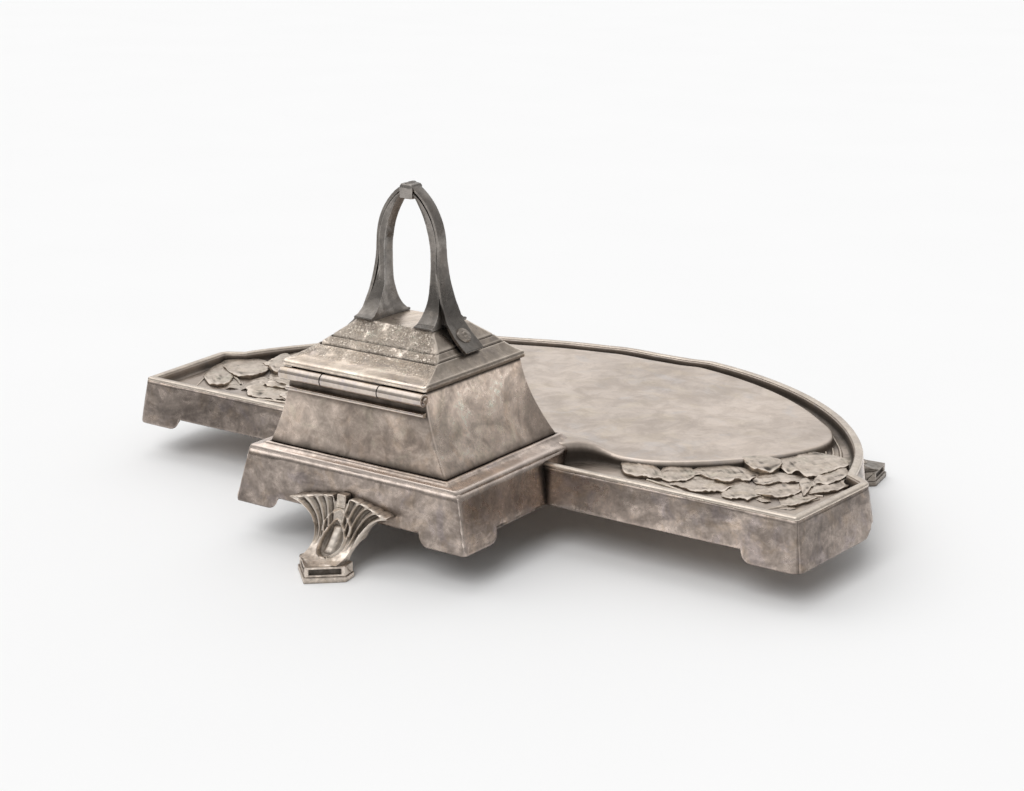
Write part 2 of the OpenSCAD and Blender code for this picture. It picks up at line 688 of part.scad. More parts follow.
// the foot in the frame of a wall whose foot line is y = 0 and which faces +Y
module foot_common(e = 0) {
  intersection() {
    along_y(-10, 40) foot_view();
    along_x(-30, 30) leg_view(e);
    slab(1.5, 17.4);
  }
  translate([0, e, 0]) toe();
  // raised teardrop on the leg
  translate([0, 5.6 + e, 9.6]) rotate([-42, 0, 0]) intersection() {
    cylinder(r = 4.6, h = 2.6, $fn = 48);
    translate([-3.4, -6, -1]) cube([6.8, 12, 4]);
  }
}
module rear_foot() {
  color(foot_col) placed() difference() {
    translate([0, plinth_y, 0]) {
      foot_common();
      // palmette flat against the plinth
      intersection() {
        along_y(-10, 10) foot_view();
        along_x(-30, 30) polygon([[2.6, 15.5], [-2.4, 15.5], [-2.4, 26], [0.9, 26], [1.6, 24]]);
        slab(15.5, 26);
      }
    }
    plinth_solid(0);
    plinth_solid(0.01);
  }
}
module front_foot(s) {
  color(foot_col) placed() flip(s) difference() {
    translate([0, -front_c, 0]) rotate([0, 0, 180 + foot_angle]) {
      translate([0, front_r + batter, 0]) foot_common(front_extra);
      // palmette wrapped round the curved apron
      intersection() {
        translate([0, front_r + batter, 0]) along_y(-14, 14) foot_view();
        difference() {
          translate([0, 0, 15.5]) cylinder(r1 = front_r + batter + 3.6, r2 = front_r + batter + 1.2, h = 10, $fn = 240);
          translate([0, 0, 15]) cylinder(r = front_r - 1, h = 12, $fn = 240);
        }
        slab(15.5, 25.5);
      }
    }
    front_cone(0, 1);
  }
}
module front_foot_left() { front_foot(1); }
module front_foot_right() { front_foot(-1); }

tray_plate();
front_apron();
rear_apron_left();
rear_apron_right();
end_apron_left();
end_apron_right();
plinth();
plinth_moulding();
well_housing();
well_collar();
glass_liner();
hinge_ledge();
knuckle_left();
knuckle_right();
knuckle_middle();
hinge_pin();
lid_leaf();
lid_shell();
handle_arch();
rivet_left();
rivet_right();
leaf_spray_left();
leaf_spray_right();
rear_foot();
front_foot_left();
front_foot_right();
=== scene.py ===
import math
import random
import bpy
import bmesh
import numpy as np
from mathutils import Matrix, Vector, geometry, noise


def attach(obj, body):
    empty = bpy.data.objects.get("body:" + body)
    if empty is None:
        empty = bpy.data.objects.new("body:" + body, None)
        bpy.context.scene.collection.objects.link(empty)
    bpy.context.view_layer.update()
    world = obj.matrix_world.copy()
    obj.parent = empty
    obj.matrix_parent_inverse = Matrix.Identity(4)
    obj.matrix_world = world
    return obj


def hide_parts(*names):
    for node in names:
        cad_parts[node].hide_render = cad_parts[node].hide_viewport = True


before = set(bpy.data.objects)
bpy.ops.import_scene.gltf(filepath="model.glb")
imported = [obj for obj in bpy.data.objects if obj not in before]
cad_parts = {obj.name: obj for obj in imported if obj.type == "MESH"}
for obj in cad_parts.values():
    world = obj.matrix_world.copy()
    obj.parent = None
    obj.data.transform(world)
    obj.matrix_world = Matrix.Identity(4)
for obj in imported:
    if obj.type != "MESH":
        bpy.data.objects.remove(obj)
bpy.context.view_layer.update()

YS = 40.25                    # gauge y to row y, in millimetres
random.seed(7)

# ---------------------------------------------------------------------------
# materials
# ---------------------------------------------------------------------------


class Nodes:
    """Short calls for building a shader."""

    def __init__(self, name):
        self.m = bpy.data.materials.new(name)
        self.m.use_nodes = True
        self.t = self.m.node_tree
        self.t.nodes.clear()
        self.out = self.t.nodes.new("ShaderNodeOutputMaterial")
        self.b = self.t.nodes.new("ShaderNodeBsdfPrincipled")
        self.t.links.new(self.b.outputs[0], self.out.inputs[0])
        tc = self.t.nodes.new("ShaderNodeTexCoord")
        self.obj = tc.outputs["Object"]
        self.nrm = tc.outputs["Normal"]
        sc = self.t.nodes.new("ShaderNodeVectorMath")
        sc.operation = "SCALE"
        sc.inputs[3].default_value = 1000.0
        self.t.links.new(self.obj, sc.inputs[0])
        self.mm = sc.outputs[0]      # object coordinates in millimetres

    def link(self, a, b):
        self.t.links.new(a, b)

    def _in(self, sock, v):
        if hasattr(v, "is_output"):
            self.t.links.new(v, sock)
        else:
            sock.default_value = v

    def moved(self, scale=(1, 1, 1), loc=(0, 0, 0), rot=(0, 0, 0), src=None):
        n = self.t.nodes.new("ShaderNodeMapping")
        n.inputs["Scale"].default_value = scale
        n.inputs["Location"].default_value = loc
        n.inputs["Rotation"].default_value = rot
        self.link(src or self.mm, n.inputs[0])
        return n.outputs[0]

    def noise(self, scale, detail=4, rough=0.55, dist=0.0, vec=None, off=None):
        n = self.t.nodes.new("ShaderNodeTexNoise")
        n.inputs["Scale"].default_value = scale
        n.inputs["Detail"].default_value = detail
        n.inputs["Roughness"].default_value = rough
        n.inputs["Distortion"].default_value = dist
        v = vec or self.mm
        if off:
            v = self.moved(loc=off, src=v)
        self.link(v, n.inputs["Vector"])
        return n.outputs[0]

    def voronoi(self, scale, feature="F1", vec=None):
        n = self.t.nodes.new("ShaderNodeTexVoronoi")
        n.feature = feature
        n.inputs["Scale"].default_value = scale
        self.link(vec or self.mm, n.inputs["Vector"])
        return n.outputs[0]

    def ramp(self, v, a, b, lo=0.0, hi=1.0, smooth=True):
        n = self.t.nodes.new("ShaderNodeMapRange")
        n.interpolation_type = "SMOOTHSTEP" if smooth else "LINEAR"
        self._in(n.inputs[0], v)
        for i, x in enumerate((a, b, lo, hi)):
            n.inputs[1 + i].default_value = x
        return n.outputs[0]

    def math(self, op, a, b=0.0, c=0.0):
        n = self.t.nodes.new("ShaderNodeMath")
        n.operation = op
        self._in(n.inputs[0], a)
        self._in(n.inputs[1], b)
        self._in(n.inputs[2], c)
        return n.outputs[0]

    def mix(self, f, a, b, mode="MIX"):
        n = self.t.nodes.new("ShaderNodeMix")
        n.data_type = "RGBA"
        n.blend_type = mode
        n.clamp_factor = True
        self._in(n.inputs[0], f)
        for sock, v in ((n.inputs[6], a), (n.inputs[7], b)):
            if hasattr(v, "is_output"):
                self.link(v, sock)
            else:
                sock.default_value = tuple(v) + (1.0,) if len(v) == 3 else v
        return n.outputs[2]

    def grey(self, v):
        n = self.t.nodes.new("ShaderNodeCombineColor")
        for i in range(3):
            self._in(n.inputs[i], v)
        return n.outputs[0]

    def sep(self, v):
        n = self.t.nodes.new("ShaderNodeSeparateXYZ")
        self.link(v, n.inputs[0])
        return n.outputs

    def bump(self, height, dist, strength=1.0, normal=None):
        n = self.t.nodes.new("ShaderNodeBump")
        n.inputs["Strength"].default_value = strength
        n.inputs["Distance"].default_value = dist
        self.link(height, n.inputs["Height"])
        if normal is not None:
            self.link(normal, n.inputs["Normal"])
        return n.outputs[0]

    def edge(self, radius, lo=0.90, hi=0.995):
        """1 on worn outer edges, 0 on flats."""
        bv = self.t.nodes.new("ShaderNodeBevel")
        bv.samples = 4
        bv.inputs["Radius"].default_value = radius
        g = self.t.nodes.new("ShaderNodeNewGeometry")
        n = self.t.nodes.new("ShaderNodeVectorMath")
        n.operation = "DOT_PRODUCT"
        self.link(bv.outputs[0], n.inputs[0])
        self.link(g.outputs["Normal"], n.inputs[1])
        return self.ramp(n.outputs["Value"], lo, hi, 1.0, 0.0)

    def ao(self, dist, samples=6):
        n = self.t.nodes.new("ShaderNodeAmbientOcclusion")
        n.samples = samples
        n.inputs["Distance"].default_value = dist
        return n.outputs["AO"]


def silver(name, light, dark, stain, stain2=None, patch=0.045, edge=0.0006, edge_gain=0.6, cavity=0.004, cavity_lo=0.35,
           rough=(0.24, 0.40), grain=1.0, dents=1.0, stain_amount=0.5, mott=(0.80, 1.15), fine_m=(0.90, 1.09), pits=None, spots=0.3,
           relief=False, soft=1.0, tint=None):
    """Aged silver plate: cloudy tarnish, warm and cool stains, spots, fine grain and dents, recesses darkened by
    occlusion (partly tarnish in the hollows, partly painted shade), worn bright edges, and painted shade and painted
    highlights from the relief tone.
    """
    k = Nodes(name)
    big = k.noise(patch, 5, 0.6, 0.8)
    mid = k.noise(patch * 4.2, 5, 0.66, 0.7, off=(31, 7, 12))
    fine = k.noise(0.85, 4, 0.7, 0.2, off=(3, 50, 9))
    warm = k.noise(patch * 1.7, 4, 0.6, 1.4, off=(90, 14, 41))
    cool = k.noise(patch * 2.3, 4, 0.6, 1.0, off=(14, 61, 7))
    speck = k.noise(0.75, 3, 0.75, 0.4, off=(11, 80, 5))
    col = k.mix(k.ramp(big, 0.36, 0.64), dark, light)
    col = k.mix(k.math("MULTIPLY", k.ramp(warm, 0.50, 0.68), stain_amount), col, stain)
    if stain2:
        col = k.mix(k.math("MULTIPLY", k.ramp(cool, 0.52, 0.68), stain_amount), col, stain2)
    col = k.mix(0.9, col, k.grey(k.ramp(mid, 0.34, 0.66, mott[0], mott[1])), "MULTIPLY")
    col = k.mix(0.9, col, k.grey(k.ramp(fine, 0.32, 0.68, fine_m[0], fine_m[1])), "MULTIPLY")
    col = k.mix(k.math("MULTIPLY", k.ramp(speck, 0.64, 0.72), spots), col, tuple(c * 0.40 for c in dark))
    col = k.mix(k.math("MULTIPLY", k.ramp(speck, 0.34, 0.27), spots * 0.7), col, (0.86, 0.80, 0.74))
    if tint:
        col = k.mix(1.0, col, k.grey(tint(k)), "MULTIPLY")
    rgh = k.ramp(mid, 0.34, 0.66, rough[1], rough[0])
    hgt = k.math("MULTIPLY", k.noise(2.6, 3, 0.6, 0.0), 0.08 * grain)
    hgt = k.math("ADD", hgt, k.math("MULTIPLY", k.noise(0.55, 4, 0.55, 0.2, off=(5, 5, 60)), 0.40 * grain))
    hgt = k.math("ADD", hgt, k.math("MULTIPLY", k.noise(0.085, 3, 0.5, 0.4, off=(70, 2, 4)), 2.6 * dents))
    hgt = k.math("ADD", hgt, k.math("MULTIPLY", k.noise(0.23, 2, 0.5, 0.4, off=(7, 42, 4)), 0.9 * dents))
    if pits:
        hgt, col, rgh = pits(k, hgt, col, rgh)
    nrm = k.bump(hgt, 0.00011, 1.0)
    bright = tuple(c * 1.15 + 0.15 for c in light)
    bright = tuple(c * min(1.0, 0.93 / max(bright)) for c in bright)
    # occlusion darkening of recesses: partly tarnish kept in the hollows, partly painted shade
    if cavity:
        occ = k.ramp(k.ao(cavity), cavity_lo, 0.95)
        col = k.mix(occ, k.mix(0.8, col, (0.045, 0.038, 0.032)), col)
        rgh = k.math("ADD", rgh, k.math("MULTIPLY", k.math("SUBTRACT", 1.0, occ), 0.16))
    if edge:
        e = k.math("MULTIPLY", k.edge(edge, 0.92, 0.998), k.ramp(k.noise(0.32, 3, 0.6, 0.0, off=(8, 8, 8)), 0.30, 0.62, 0.35, 1.0))
        col = k.mix(k.math("MULTIPLY", e, edge_gain), col, bright)
        rgh = k.math("SUBTRACT", rgh, k.math("MULTIPLY", e, 0.08))
    if relief:
        # the relief attribute carries painted light: low values mix in near-black painted shade, high values a painted
        # highlight
        at = k.t.nodes.new("ShaderNodeAttribute")
        at.attribute_name = "relief"
        f = at.outputs["Fac"]
        col = k.mix(k.math("MULTIPLY", k.ramp(f, 0.02, 0.46, 0.94, 0.0), soft), col, (0.050, 0.043, 0.037))
        col = k.mix(k.ramp(f, 0.54, 0.97, 0.0, 0.88), col, bright)
        rgh = k.math("ADD", rgh, k.ramp(f, 0.05, 0.46, 0.2, 0.0))
    col = k.mix(1.0, col, (1.0, 0.966, 0.922), "MULTIPLY")
    k.link(col, k.b.inputs["Base Color"])
    k.link(rgh, k.b.inputs["Roughness"])
    k.b.inputs["Metallic"].default_value = 1.0
    k.link(nrm, k.b.inputs["Normal"])
    return k.m


def lid_pits(k, hgt, col, rgh):
    """The cast, pitted faces of the lid's front and rear slopes."""
    n = k.sep(k.nrm)
    p = k.sep(k.mm)
    face = k.ramp(k.math("ABSOLUTE", n[1]), 0.20, 0.40)
    face = k.math("MULTIPLY", face, k.ramp(k.math("ABSOLUTE", n[0]), 0.25, 0.40, 1.0, 0.0))
    patchy = k.ramp(k.noise(0.15, 3, 0.6, 0.4, off=(2, 33, 8)), 0.28, 0.52)
    mask = k.math("MULTIPLY", face, patchy)
    mask = k.math("MULTIPLY", mask, k.ramp(p[2], 65.6, 67.0))
    v1 = k.noise(1.15, 3, 0.75, 0.6, off=(4, 4, 4))
    v2 = k.noise(2.3, 2, 0.7, 0.2, off=(9, 1, 4))
    pit = k.math("ADD", k.math("MULTIPLY", v1, 0.6), k.math("MULTIPLY", v2, 0.4))
    hgt = k.math("ADD", hgt, k.math("MULTIPLY", k.math("MULTIPLY", k.ramp(pit, 0.42, 0.58), mask), 4.2))
    col = k.mix(k.math("MULTIPLY", mask, k.ramp(pit, 0.40, 0.49, 0.85, 0.0)), col, (0.13, 0.105, 0.085))
    col = k.mix(k.math("MULTIPLY", mask, k.ramp(pit, 0.51, 0.60, 0.0, 0.95)), col, (1.0, 0.94, 0.85))
    return hgt, col, rgh


def body_painted_light_and_stains(k):
    """Painted light and real stains on the walls: a painted falloff darker towards the +X end, painted shade on faces
    turned along X near the ends (lightened on such faces at the front), and painted light on faces turned upwards.
    """
    p, n = k.sep(k.mm), k.sep(k.nrm)
    g = k.ramp(p[0], -75, 80, 1.0, 0.55, smooth=False)
    side = k.ramp(k.math("ABSOLUTE", n[0]), 0.55, 0.85)
    end = k.ramp(k.math("ABSOLUTE", p[0]), 100, 125, 1.05, 0.60)
    far = k.ramp(p[1], -34, -24, 1.0, 0.0)
    end = k.math("ADD", k.math("MULTIPLY", end, k.math("SUBTRACT", 1.0, far)), k.math("MULTIPLY", 1.5, far))
    f = k.math("ADD", k.math("MULTIPLY", g, k.math("SUBTRACT", 1.0, side)), k.math("MULTIPLY", end, side))
    top = k.ramp(n[2], 0.35, 0.75)
    f = k.math("ADD", k.math("MULTIPLY", f, k.math("SUBTRACT", 1.0, top)), k.math("MULTIPLY", 1.25, top))
    # deep uneven stains, long in the direction of the wall
    st = k.noise(0.055, 4, 0.62, 1.2, vec=k.moved(scale=(0.7, 0.7, 1.5)), off=(40, 3, 8))
    return k.math("MULTIPLY", f, k.ramp(st, 0.36, 0.62, 1.14, 0.70))


def well_painted_light_and_stains(k):
    # painted light by facing: faces turned along X lightened, front and rear faces darkened; the noise is real stains
    n = k.sep(k.nrm)
    f = k.ramp(k.math("ABSOLUTE", n[0]), 0.3, 0.75, 0.84, 1.42)
    st = k.noise(0.05, 4, 0.62, 1.0, off=(17, 3, 28))
    return k.math("MULTIPLY", f, k.ramp(st, 0.40, 0.62, 1.12, 0.70))


def lid_painted_facing_light(k):
    # painted light by facing: faces turned along X darkened to half, front and rear faces lightened
    n = k.sep(k.nrm)
    return k.ramp(k.math("ABSOLUTE", n[0]), 0.25, 0.55, 1.20, 0.50)


def foot_tint(k):
    """Darker on the front feet than on the rear one."""
    p = k.sep(k.mm)
    return k.ramp(k.math("ABSOLUTE", p[0]), 40, 70, 1.0, 0.42)


# the silver copies differ in brightness partly as real tarnish and partly as painted light: the handle and body copies
# are darkened as painted shade, the pan, rim, lid and feet copies lightened as painted light
M = {}
WARM, LILAC, GREEN = (0.55, 0.46, 0.37), (0.47, 0.42, 0.44), (0.52, 0.50, 0.38)
M["body"] = silver("plated_body_silver", (0.61, 0.53, 0.485), (0.45, 0.385, 0.35), (0.56, 0.45, 0.36), LILAC, edge=0.0006, edge_gain=0.8, spots=0.40,
                   mott=(0.78, 1.17), fine_m=(0.86, 1.11), relief=True, tint=body_painted_light_and_stains)
M["well"] = silver("plated_well_silver", (0.66, 0.57, 0.51), (0.49, 0.41, 0.36), (0.56, 0.44, 0.35), (0.60, 0.55, 0.46), stain_amount=0.45, spots=0.3,
                   edge=0.0006, edge_gain=0.5, mott=(0.82, 1.15), relief=True, tint=well_painted_light_and_stains)
M["pan"] = silver("plated_pan_silver", (0.755, 0.668, 0.605), (0.62, 0.545, 0.492), (0.69, 0.605, 0.51), (0.65, 0.61, 0.60), patch=0.024,
                  spots=0.10, edge=None, rough=(0.30, 0.42), dents=1.3, grain=0.6, stain_amount=0.6, mott=(0.88, 1.08),
                  fine_m=(0.96, 1.03), relief=True)
M["rim"] = silver("plated_rim_silver", (0.76, 0.69, 0.62), (0.64, 0.575, 0.52), (0.66, 0.59, 0.50), patch=0.06, spots=0.15, edge=None,
                  rough=(0.26, 0.38), dents=0.6, mott=(0.92, 1.06), relief=True)
M["relief"] = silver("plated_relief_silver", (0.74, 0.66, 0.59), (0.62, 0.55, 0.49), (0.64, 0.56, 0.46), (0.58, 0.56, 0.47), patch=0.07,
                     cavity=0.0012, cavity_lo=0.0, edge=None, dents=0.7, spots=0.10, mott=(0.86, 1.10), fine_m=(0.93, 1.06),
                     rough=(0.30, 0.44), relief=True)
M["lid"] = silver("plated_lid_silver", (0.90, 0.805, 0.715), (0.70, 0.615, 0.54), (0.72, 0.60, 0.48), LILAC, pits=lid_pits, cavity=0.0014,
                  cavity_lo=0.20, edge=0.0005, edge_gain=0.5, stain_amount=0.35, mott=(0.86, 1.12), relief=True, tint=lid_painted_facing_light)
M["handle"] = silver("plated_handle_silver", (0.285, 0.268, 0.255), (0.17, 0.16, 0.152), (0.265, 0.232, 0.205), patch=0.05, cavity=0.0022,
                     cavity_lo=0.3, edge=0.0005, edge_gain=0.6, stain_amount=0.3, spots=0.3, rough=(0.22, 0.34), mott=(0.86, 1.13),
                     relief=True)
M["bright"] = silver("plated_bright_silver", (0.68, 0.61, 0.55), (0.45, 0.39, 0.35), (0.52, 0.43, 0.33), patch=0.12, cavity=0.0022,
                     edge=0.0004, edge_gain=0.6, dents=0.5, rough=(0.24, 0.40))
M["rivet"] = silver("plated_rivet_silver", (0.40, 0.365, 0.335), (0.26, 0.235, 0.215), (0.34, 0.29, 0.24), patch=0.3, cavity=0.0010,
                    edge=0.0004, edge_gain=0.5, rough=(0.30, 0.42))
M["hinge"] = silver("plated_hinge_silver", (0.70, 0.63, 0.58), (0.60, 0.54, 0.50), (0.60, 0.51, 0.40), (0.56, 0.51, 0.53), patch=0.10,
                    cavity=0.0010, cavity_lo=0.2, edge=0.0004, edge_gain=0.6, dents=0.15, grain=0.1, rough=(0.10, 0.18), spots=0.10,
                    mott=(0.92, 1.07), fine_m=(0.96, 1.04), stain_amount=0.6)
M["feet"] = silver("plated_feet_silver", (0.92, 0.842, 0.77), (0.64, 0.575, 0.52), (0.64, 0.56, 0.45), patch=0.10, cavity=0.0022,
                   cavity_lo=0.20, edge=0.0003, edge_gain=0.5, dents=0.3, spots=0.35, mott=(0.80, 1.14), rough=(0.32, 0.46), relief=True,
                   tint=foot_tint)
# near-black painted shade, for thin sheets and rings laid where only shade falls
M["shade"] = silver("painted_shade_near_black", (0.050, 0.044, 0.038), (0.030, 0.026, 0.022), (0.045, 0.036, 0.028), edge=None, cavity=None,
                    rough=(0.5, 0.7), spots=0.1)


def clear_glass():
    k = Nodes("clear_glass_liner")
    b = k.b
    b.inputs["Transmission Weight"].default_value = 1.0
    b.inputs["IOR"].default_value = 1.5
    n = k.noise(0.3, 3, 0.5)
    k.link(k.mix(k.ramp(n, 0.4, 0.7), (0.93, 0.97, 0.955), (0.86, 0.93, 0.90)), b.inputs["Base Color"])
    k.link(k.ramp(k.noise(0.5, 4, 0.6), 0.4, 0.7, 0.02, 0.09), b.inputs["Roughness"])
    k.link(k.bump(k.noise(0.15, 2, 0.5), 0.0002, 0.5), b.inputs["Normal"])
    return k.m


M["glass"] = clear_glass()

# ---------------------------------------------------------------------------
# CAD nodes that stay: softened edges, smooth faces, aged silver
# ---------------------------------------------------------------------------
KEEP = {
    "well_collar": ("bright", 0.15), "glass_liner": ("glass", 0.30), "hinge_ledge": ("hinge", 0.22), "knuckle_left": ("hinge", 0.22),
    "knuckle_right": ("hinge", 0.22), "knuckle_middle": ("hinge", 0.22), "hinge_pin": ("hinge", 0.18),
    "rivet_left": ("rivet", 0.18), "rivet_right": ("rivet", 0.18),
}


def soften(o, width):
    w = o.modifiers.new("join", "WELD")
    w.merge_threshold = 1e-6
    b = o.modifiers.new("soft", "BEVEL")
    b.width = width / 1000
    b.segments = 3
    b.limit_method = "ANGLE"
    b.angle_limit = math.radians(28)
    b.use_clamp_overlap = True
    b.harden_normals = False
    n = o.modifiers.new("normals", "WEIGHTED_NORMAL")
    n.mode = "FACE_AREA"
    n.weight = 50
    for p in o.data.polygons:
        p.use_smooth = True


def finish_node(name, mat, width):
    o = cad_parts[name]
    if not o.data.materials:
        o.data.materials.append(None)
    for i in range(len(o.data.materials)):
        o.data.materials[i] = M[mat]
    soften(o, width)


for _n, (_m, _w) in KEEP.items():
    finish_node(_n, _m, _w)

# ---------------------------------------------------------------------------
# mesh helpers, millimetres in the gauge frame (y = 0 on the tray's rear edge)
# ---------------------------------------------------------------------------


def mesh_from(name, verts, faces, mat, weld=2e-6):
    v = np.array([tuple(p[:3]) for p in verts], float)
    me = bpy.data.meshes.new(name)
    me.from_pydata([(a / 1000, (b + YS) / 1000, c / 1000) for a, b, c in v], [], [tuple(int(i) for i in f) for f in faces])
    # relief attribute: per-vertex tone of painted shade and painted highlight, 0.5 where neither is painted
    at = me.attributes.new("relief", "FLOAT", "POINT")
    at.data.foreach_set("value", [float(p[3]) if len(p) > 3 else 0.5 for p in verts])
    bm = bmesh.new()
    bm.from_mesh(me)
    bmesh.ops.remove_doubles(bm, verts=bm.verts, dist=weld)
    bmesh.ops.dissolve_degenerate(bm, edges=bm.edges, dist=1e-7)
    bmesh.ops.recalc_face_normals(bm, faces=bm.faces)
    bm.to_mesh(me)
    bm.free()
    me.materials.append(M[mat])
    return me


def piece(name, verts, faces, mat, body, node=None, sharp=40, wob=None, up=False, sheet=None, bevel=None):
    me = mesh_from(name, verts, faces, mat)
    bm = bmesh.new()
    bm.from_mesh(me)
    if up and sum(f.normal.z * f.calc_area() for f in bm.faces) < 0:
        bmesh.ops.reverse_faces(bm, faces=bm.faces)
    bm.normal_update()
    if wob:
        amp, sc, seed = wob
        for v in bm.verts:
            p = v.co * 1000
            q = noise.noise(Vector((p.x * sc + seed, p.y * sc, p.z * sc))) + 0.35 * noise.noise(Vector((p.x * sc * 3.1, p.y * sc * 3.1 + seed, p.z * sc * 3.1)))
            v.co += v.normal * (amp * q / 1000)
    for e in bm.edges:
        e.smooth = not (len(e.link_faces) == 2 and e.calc_face_angle(0) > math.radians(sharp))
    for f in bm.faces:
        f.smooth = True
    bm.to_mesh(me)
    bm.free()
    o = bpy.data.objects.new(name, me)
    bpy.context.scene.collection.objects.link(o)
    if sheet:
        s = o.modifiers.new("sheet", "SOLIDIFY")
        s.thickness = sheet / 1000
        s.offset = -1
        s.use_even_offset = False
    if bevel:
        b = o.modifiers.new("soft", "BEVEL")
        b.width = bevel / 1000
        b.segments = 3
        b.limit_method = "ANGLE"
        b.angle_limit = math.radians(30)
        n = o.modifiers.new("normals", "WEIGHTED_NORMAL")
        n.weight = 50
    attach(o, body)
    if node:
        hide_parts(*([node] if isinstance(node, str) else node))
    return o


def rows_to_faces(V, F, rows, closed):
    n = len(rows[0])
    ids = []
    for r in rows:
        ids.append(len(V))
        V.extend([tuple(p) for p in r])
    for a, b in zip(ids[:-1], ids[1:]):
        for i in range(n if closed else n - 1):
            j = (i + 1) % n
            F.append((a + i, a + j, b + j, b + i))
    return ids


def lerp(a, b, t):
    return a + (b - a) * t


def curve_at(pts, x):
    return float(np.interp(x, [p[0] for p in pts], [p[1] for p in pts]))


# ---------------------------------------------------------------------------
# tray: pressed sheet with rim band, channel and pen pan, and leaning aprons
# ---------------------------------------------------------------------------
TRAY_HALF, END_ANG, END_DEPTH, FRONT_R = 141.2, math.radians(4.102), 47.4, 143.0
RUN = END_DEPTH - 3.4
CX = TRAY_HALF + RUN * math.sin(END_ANG) - 5 * math.cos(END_ANG)
CY = -RUN * math.cos(END_ANG) - 5 * math.sin(END_ANG)
SH = math.radians(-58)
RIM_Z, FLOOR_Z, PAN_Z, SEAT_Z = 31.1, 26.8, 30.1, 29.9
NOTCH = 44.35
REAR_X = [NOTCH, 50, 56, 62, 68, 74, 80, 86, 92, 98, 104, 109, 113, 117, 120.4, 122.6, 122.63, 122.8, 123.15, 123.7, 124.5, 125.5,
          126.7, 129, 132, 135.5]
N_REAR, N_CORNER, N_END, N_ARC, N_SH, N_FRONT = len(REAR_X), 6, 14, 9, 4, 96


def lin(a, b, n):
    a, b = np.array(a, float), np.array(b, float)
    return [tuple(a + (b - a) * x) for x in np.linspace(0, 1, n + 1)[:-1]]


def bend(p, out=True):
    """Moves the curved front of an outline in and out: the rim is not a true arc, and is pinched a little off its middle."""
    q = np.array(p, float)
    dx, dy = q[:, 0], q[:, 1] + 10
    rad = np.hypot(dx, dy)
    az = np.degrees(np.arctan2(dx, -dy))
    off = np.interp(az, [-72, -62, -20, -10.5, -7.5, -5, -1, 2, 5, 9, 24, 32, 46, 54, 62, 72],
                    [0.0, 1.2, 1.2, 1.2, -1.6, -2.4, -3.0, -2.4, -1.9, -2.9, -2.9, -0.4, -0.4, -2.6, -2.4, 0.0])
    off = np.where(rad > 100, off, 0.0)
    if not out:
        off = np.minimum(off, 0)
    k = 1 + off / np.maximum(rad, 1)
    return np.stack([dx * k, dy * k - 10], 1)


def rim_loop(d):
    """Outline of the tray moved in by d, from the plinth on the +X side round the front to the plinth on the -X side."""
    na = np.array([math.cos(END_ANG), math.sin(END_ANG)])
    r0 = max(0.04, 1.3 - d)
    dm = d + r0
    cc = np.array([(TRAY_HALF * na[0] - dm + dm * na[1]) / na[0], -dm])
    pts = [(x, -d) for x in REAR_X]
    for i in range(N_CORNER):
        a = math.pi / 2 + (END_ANG - math.pi / 2) * i / (N_CORNER - 1)
        pts.append((cc[0] + r0 * math.cos(a), cc[1] + r0 * math.sin(a)))
    c0 = np.array(pts[-1])
    r = 5 - d
    C = np.array([CX, CY])
    a0 = C + r * na
    ns = np.array([math.cos(SH), math.sin(SH)])
    s0 = C + r * ns
    ts = np.array([ns[1], -ns[0]])
    R = FRONT_R - d
    q = s0 - np.array([0, -10.0])
    bq = q @ ts
    cq = q @ q - R * R
    disc = math.sqrt(max(0.0, bq * bq - cq))
    t = min((x for x in (-bq - disc, -bq + disc) if x > 0), default=4.0)
    j = s0 + ts * t
    pts += lin(c0, a0, N_END)[1:]
    for i in range(N_ARC):
        a = END_ANG + (SH - END_ANG) * i / N_ARC
        pts.append((CX + r * math.cos(a), CY + r * math.sin(a)))
    pts += lin(s0, j, N_SH)
    th = math.atan2(j[1] + 10, j[0])
    for i in range(N_FRONT):
        a = th + (-math.pi / 2 - th) * i / N_FRONT
        pts.append((R * math.cos(a), -10 + R * math.sin(a)))
    full = pts + [(0.0, -10 - R)] + [(-x, y) for x, y in reversed(pts)]
    return bend(full, d > -1)


